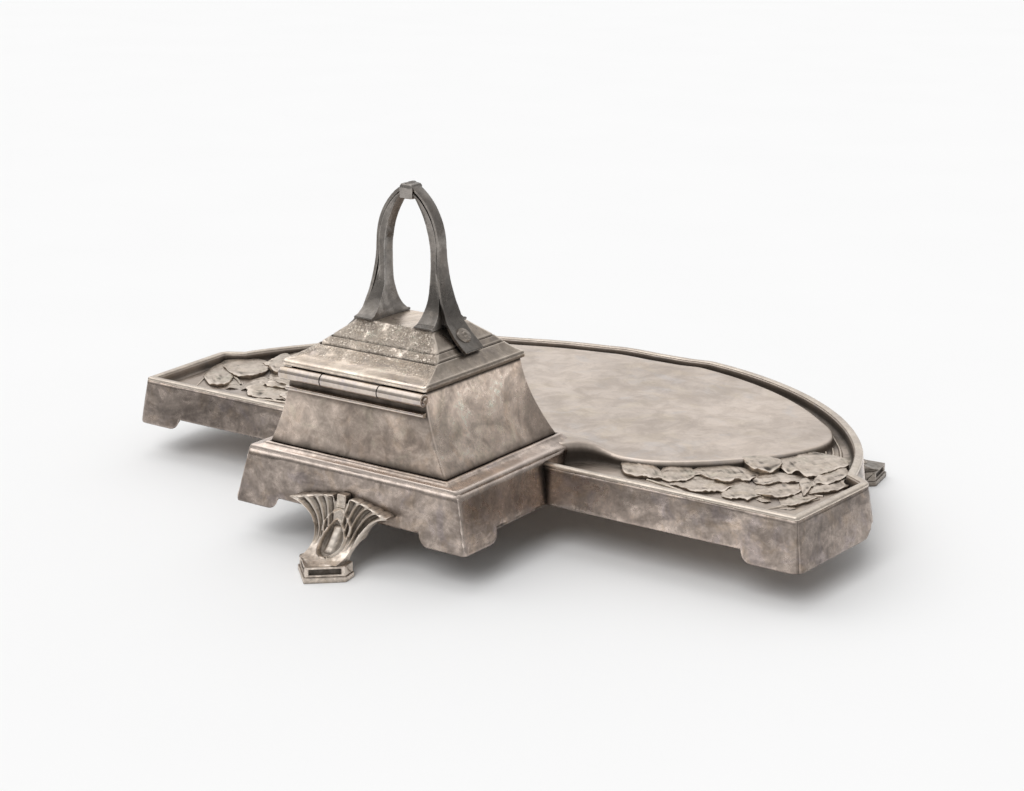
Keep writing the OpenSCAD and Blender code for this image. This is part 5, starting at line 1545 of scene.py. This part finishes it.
def place_front(sign):
    a = math.radians(180 + 39.0)

    def f(x, y, z):
        y = y + 146.0
        return (sign * (x * math.cos(a) - y * math.sin(a)), -10 + x * math.sin(a) + y * math.cos(a), z)

    return f


build_foot("rear_foot", "rear_foot", place_rear, 2.1 / 19.0, False)
build_foot("front_foot_left", "front_foot_left", place_front(1), 0.18, True, 3.5)
build_foot("front_foot_right", "front_foot_right", place_front(-1), 0.18, True, 3.5)

# ---------------------------------------------------------------------------
# stage, light and camera
# ---------------------------------------------------------------------------


def stage():
    me = bpy.data.meshes.new("floor")
    me.from_pydata([(-9, -9, 0), (9, -9, 0), (9, 9, 0), (-9, 9, 0)], [], [(0, 1, 2, 3)])
    o = bpy.data.objects.new("floor", me)
    bpy.context.scene.collection.objects.link(o)
    k = Nodes("pale_floor")
    k.link(k.mix(k.ramp(k.noise(0.01, 2, 0.5), 0.3, 0.7), (0.888, 0.888, 0.888), (0.894, 0.894, 0.894)), k.b.inputs["Base Color"])
    k.b.inputs["Roughness"].default_value = 0.9
    k.b.inputs["Specular IOR Level"].default_value = 0.0
    me.materials.append(k.m)


stage()


def light(name, loc, target, size, energy, color=(1, 1, 1), size_y=None):
    d = bpy.data.lights.new(name, "AREA")
    d.shape = "RECTANGLE"
    d.size = size
    d.size_y = size_y or size
    d.energy = energy
    d.color = color
    o = bpy.data.objects.new(name, d)
    o.location = loc
    o.rotation_euler = (Vector(target) - Vector(loc)).to_track_quat("-Z", "Y").to_euler()
    bpy.context.scene.collection.objects.link(o)
    return o


sun_d = bpy.data.lights.new("sky", "SUN")
sun_d.energy = 1.50
sun_d.angle = math.radians(34)
sun = bpy.data.objects.new("sky", sun_d)
sun.rotation_euler = Vector((0.16, -0.70, -0.70)).to_track_quat("-Z", "Y").to_euler()
bpy.context.scene.collection.objects.link(sun)
sun.visible_glossy = False

w = bpy.data.worlds.new("studio")
bpy.context.scene.world = w
w.use_nodes = True
wt = w.node_tree
wt.nodes.clear()
wo = wt.nodes.new("ShaderNodeOutputWorld")
bg = wt.nodes.new("ShaderNodeBackground")
tc = wt.nodes.new("ShaderNodeTexCoord")
sx = wt.nodes.new("ShaderNodeSeparateXYZ")
wt.links.new(tc.outputs["Generated"], sx.inputs[0])
mr = wt.nodes.new("ShaderNodeMapRange")
mr.interpolation_type = "SMOOTHSTEP"
wt.links.new(sx.outputs[2], mr.inputs[0])
for _i, _x in enumerate((0.0, 0.55, 0.335, 0.455)):
    mr.inputs[1 + _i].default_value = _x
# a broad soft box low behind the stand
dt = wt.nodes.new("ShaderNodeVectorMath")
dt.operation = "DOT_PRODUCT"
wt.links.new(tc.outputs["Generated"], dt.inputs[0])
dt.inputs[1].default_value = Vector((0.50, -0.75, 0.48)).normalized()
mb = wt.nodes.new("ShaderNodeMapRange")
mb.interpolation_type = "SMOOTHSTEP"
wt.links.new(dt.outputs["Value"], mb.inputs[0])
for _i, _x in enumerate((0.55, 0.97, 0.0, 0.44)):
    mb.inputs[1 + _i].default_value = _x
# and one over the viewer's shoulder
dv = wt.nodes.new("ShaderNodeVectorMath")
dv.operation = "DOT_PRODUCT"
wt.links.new(tc.outputs["Generated"], dv.inputs[0])
dv.inputs[1].default_value = Vector((0.40, 0.10, 0.91)).normalized()
mv = wt.nodes.new("ShaderNodeMapRange")
mv.interpolation_type = "SMOOTHSTEP"
wt.links.new(dv.outputs["Value"], mv.inputs[0])
for _i, _x in enumerate((0.76, 0.97, 0.0, 0.95)):
    mv.inputs[1 + _i].default_value = _x
am = wt.nodes.new("ShaderNodeMath")
am.operation = "ADD"
wt.links.new(mr.outputs[0], am.inputs[0])
wt.links.new(mv.outputs[0], am.inputs[1])
ad = wt.nodes.new("ShaderNodeMath")
ad.operation = "ADD"
wt.links.new(am.outputs[0], ad.inputs[0])
wt.links.new(mb.outputs[0], ad.inputs[1])
cc = wt.nodes.new("ShaderNodeCombineColor")
for _i in range(3):
    wt.links.new(ad.outputs[0], cc.inputs[_i])
wt.links.new(cc.outputs[0], bg.inputs[0])
bg.inputs[1].default_value = 1.0
wt.links.new(bg.outputs[0], wo.inputs[0])

cam_d = bpy.data.cameras.new("view")
cam_d.lens = 70.44
cam_d.sensor_width = 36.0
cam_d.sensor_fit = "HORIZONTAL"
cam_d.clip_start = 0.01
cam_d.clip_end = 50
cam = bpy.data.objects.new("view", cam_d)
bpy.context.scene.collection.objects.link(cam)
_f = Vector((0.5453, -0.7914, -0.2763)).normalized()
_r0 = Vector((-0.8235, -0.5674, 0.0)).normalized()
_u0 = _r0.cross(_f).normalized()
_a = math.radians(0.38)
_r = _r0 * math.cos(_a) + _u0 * math.sin(_a)
_u = -_r0 * math.sin(_a) + _u0 * math.cos(_a)
mx = Matrix.Identity(4)
for _i in range(3):
    mx[_i][0], mx[_i][1], mx[_i][2] = _r[_i], _u[_i], -_f[_i]
mx[0][3], mx[1][3], mx[2][3] = -0.40380, 0.57964, 0.24106
cam.matrix_world = mx
bpy.context.scene.camera = cam
bpy.context.scene.view_settings.view_transform = "Standard"
bpy.context.scene.view_settings.look = "None"
bpy.context.scene.view_settings.exposure = 0.0

bpy.context.view_layer.update()
